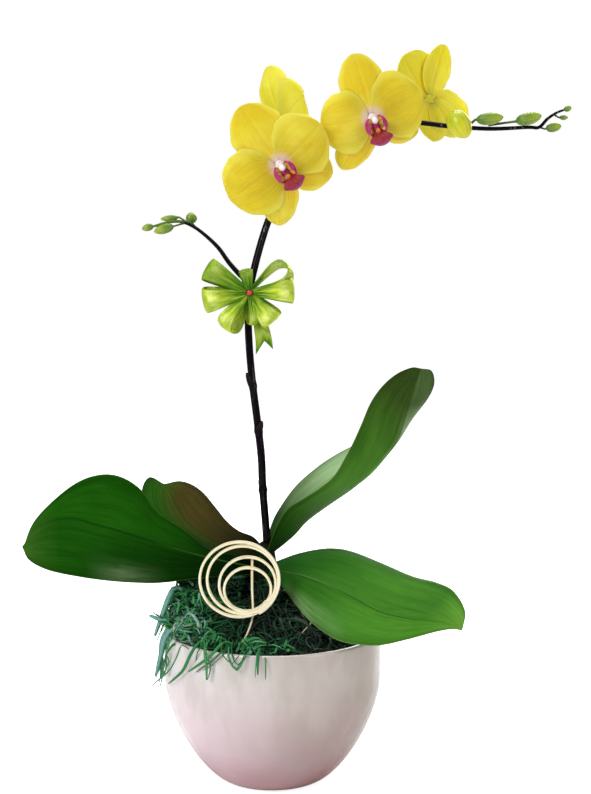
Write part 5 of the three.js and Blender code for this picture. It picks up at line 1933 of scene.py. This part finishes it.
@dataclass
class CaneCoil:
    """A coil of split cane whose turns all touch near the lowest point, on a pick in the moss.

    Attributes:
        centre: The middle of the first turn.
        rings: By turn, the middle's x and z against the first one, and the radius.
        turns: How many turns it has.
        squash: Height of a turn against its width.
        width: Width of the strip.
        thickness: Its thickness.
        turn_step: How far each turn lies behind the one before.
        lean: How far it leans back with its height.
        start: Where round the first turn it begins, in degrees.
        rows: Places along it.
        soften_over: Places over which the table's values are blended.
        pick: Points of the pick.
        pick_radii: Its radius at the top and at the bottom.
    """

    centre: Point = (-23.4, -42.0, 157.6)
    rings: tuple[tuple[float, float, float, float], ...] = (
        (0.3, 0.0, 0.0, 28.8), (1.4, 1.5, -0.8, 26.4), (2.45, 5.4, -3.9, 20.2), (3.45, 5.7, -8.2, 16.1),
    )
    turns: float = 4.08
    squash: float = 0.9
    width: float = 4.0
    thickness: float = 2.0
    turn_step: float = 1.9
    lean: float = 0.3
    start: float = -60.0
    rows: int = 620
    soften_over: int = 81
    pick: Rail = (
        (-14, -32.5, 171), (-14, -38, 151), (-13.5, -44, 132), (-17, -56, 122), (-21.5, -63, 116),
        (-25, -67.5, 110),
    )
    pick_radii: Span = (1.0, 0.55)

    def coil_skin(self) -> Skin:
        """The coil: a strip of rounded oblong section carried along the spiral.

        The middle line goes round rings that shrink and shift towards the place where they meet,
        with the table's values blended between its rows. The section is a circle whose cosine and
        sine are taken to the power of a half.

        Returns:
            The closed strip.
        """
        t = np.linspace(0, 1, self.rows) * self.turns
        angle = math.radians(self.start) + FULL_TURN * t
        turn, *columns = np.array(self.rings).T
        soften = np.ones(self.soften_over) / self.soften_over
        pad = self.soften_over // 2
        x, z, radius = (
            np.convolve(np.pad(np.interp(t, turn, column), pad, mode="edge"), soften, mode="valid")
            for column in columns
        )
        x = x + radius * np.cos(angle)
        z = z + self.squash * radius * np.sin(angle)
        path = np.stack([x, self.lean * z + self.turn_step * (t - 1), z], axis=-1) + self.centre
        outward = np.stack([np.cos(angle), 0 * angle, self.squash * np.sin(angle)], axis=-1)
        corner = circle(around(16))
        wide, thick = (np.sign(corner) * np.abs(corner) ** 0.5 * [self.width / 2, self.thickness / 2]).T
        vary = 1 + 0.1 * smooth_noise(np.linspace(0, 60, len(path))[:, None], 4)[:, None]
        section = np.stack([thick + 0 * vary, wide * vary], axis=-1)
        return swept(path, section, unit(np.cross(outward, unit(np.gradient(path, axis=0)))))

    def pick_skin(self) -> Skin:
        """The pick: a thin round rod that goes down into the moss."""
        share = np.linspace(0, 1, 60)
        return rod(spline(self.pick, share), np.linspace(*self.pick_radii, 60), 12, (1.0, 0.0, 0.0))

    def build(self) -> None:
        """Builds coil and pick as one piece."""
        cane = CaneFinish().material()
        stick = CaneFinish("cane_pick", srgb(255, 250, 220), srgb(246, 232, 188), srgb(190, 156, 104))
        parts = [(self.coil_skin(), cane), (self.pick_skin(), stick.material())]
        make_piece("cane_coil", parts)


# ---------------------------------------------------------------- studio


@dataclass
class Studio:
    """Pale floor, soft lights and the camera of the photograph.

    Attributes:
        camera_at: Place of the camera.
        camera_down: Degrees that it looks down.
        lens: Its focal length in millimetres.
        sensor: Its sensor's width in millimetres.
        target: What the lamps are turned to.
        floor_reach: How far the floor goes.
        floor_colour: Its colour.
        floor_glow: How strongly it shines towards the camera alone.
        surround: Strength of the surrounding light, on the object and as the camera sees it.
        lamps: Name, place, size, power and colour of each lamp.
    """

    camera_at: Point = (0.0169, -1.2, 0.4246)
    camera_down: float = 6.74
    lens: float = 75.58
    sensor: float = 36.0
    target: Point = (0.0, 0.0, 0.28)
    floor_reach: float = 8.0
    floor_colour: Colour = (0.93, 0.93, 0.93, 1.0)
    floor_glow: float = 0.8
    surround: Span = (0.26, 1.0)
    lamps: tuple[tuple[str, Point, float, float, Point], ...] = (
        ("key", (-1.2, -1.2, 1.3), 0.9, 23, (1, 1, 1)), ("fill", (1.4, -1.2, 0.9), 1.2, 9, (1, 0.99, 0.97)),
        ("top", (0.1, 0.3, 1.7), 0.8, 11, (1, 1, 1)), ("back", (0.5, 1.2, 0.9), 0.9, 12, (1, 1, 0.97)),
    )

    def floor(self) -> None:
        """A wide level floor that shines a little towards the camera, so that it stays pale."""
        reach = self.floor_reach
        mesh = bpy.data.meshes.new("floor")
        signs = ((-1, -1), (1, -1), (1, 1), (-1, 1))
        mesh.from_pydata([(x * reach, y * reach, -0.0003) for x, y in signs], [], [(0, 1, 2, 3)])
        values = {"Base Color": self.floor_colour, "Roughness": 0.8, "Emission Color": (1, 1, 1, 1)}
        paint = Paint("pale_floor", values)
        seen = paint.add("LightPath", output="Is Camera Ray")
        paint.feed(paint.inputs["Emission Strength"], seen * self.floor_glow)
        mesh.materials.append(paint.material)
        link("floor", mesh)

    def lamp(self, name: str, place: Point, size: float, power: float, colour: Point) -> None:
        """A square soft light at a place, turned to the middle of the plant.

        Args:
            name: Its name.
            place: Where it hangs.
            size: Its square's side.
            power: Its power in watts.
            colour: Its colour.
        """
        light = bpy.data.lights.new(name, "AREA")
        light.size, light.energy, light.color = size, power, colour
        lamp = link(name, light)
        lamp.location = place
        x, y, z = np.subtract(self.target, place)
        lamp.rotation_euler = (math.atan2(math.hypot(x, y), -z), 0, math.atan2(y, x) - math.pi / 2)

    def build(self) -> None:
        """Sets camera, lights, backdrop and the surrounding light."""
        scene = bpy.context.scene
        camera = bpy.data.cameras.new("camera")
        camera.lens, camera.sensor_width = self.lens, self.sensor
        scene.camera = link("camera", camera)
        scene.camera.location = self.camera_at
        scene.camera.rotation_euler = (math.radians(90 - self.camera_down), 0, 0)
        self.floor()
        for lamp in self.lamps:
            self.lamp(*lamp)
        scene.world = bpy.data.worlds.new("studio")
        scene.world.use_nodes = True
        background = scene.world.node_tree.nodes["Background"]
        background.inputs[0].default_value = (1, 1, 1, 1)
        layout = Layout(scene.world.node_tree)
        low, high = self.surround
        seen = layout.add("LightPath", output="Is Camera Ray")
        layout.feed(background.inputs[1], seen * (high - low) + low)
        scene.view_settings.view_transform = "Standard"


def main() -> None:
    """Builds everything in order."""
    logging.basicConfig(level=logging.INFO, format="%(name)s: %(message)s")
    build_effects()
    stalks = [bloom.stalk() for bloom in BLOOMS.values()]
    for assembly in (Studio(), Bowl(), Moss(), Crown(), *LEAVES):
        assembly.build()
    FlowerSpike().build(stalks)
    for assembly in (BloomDresser(BLOOMS), RibbonBow(), CaneCoil()):
        assembly.build()
    log.info("all pieces built")


if __name__ == "__main__":
    main()
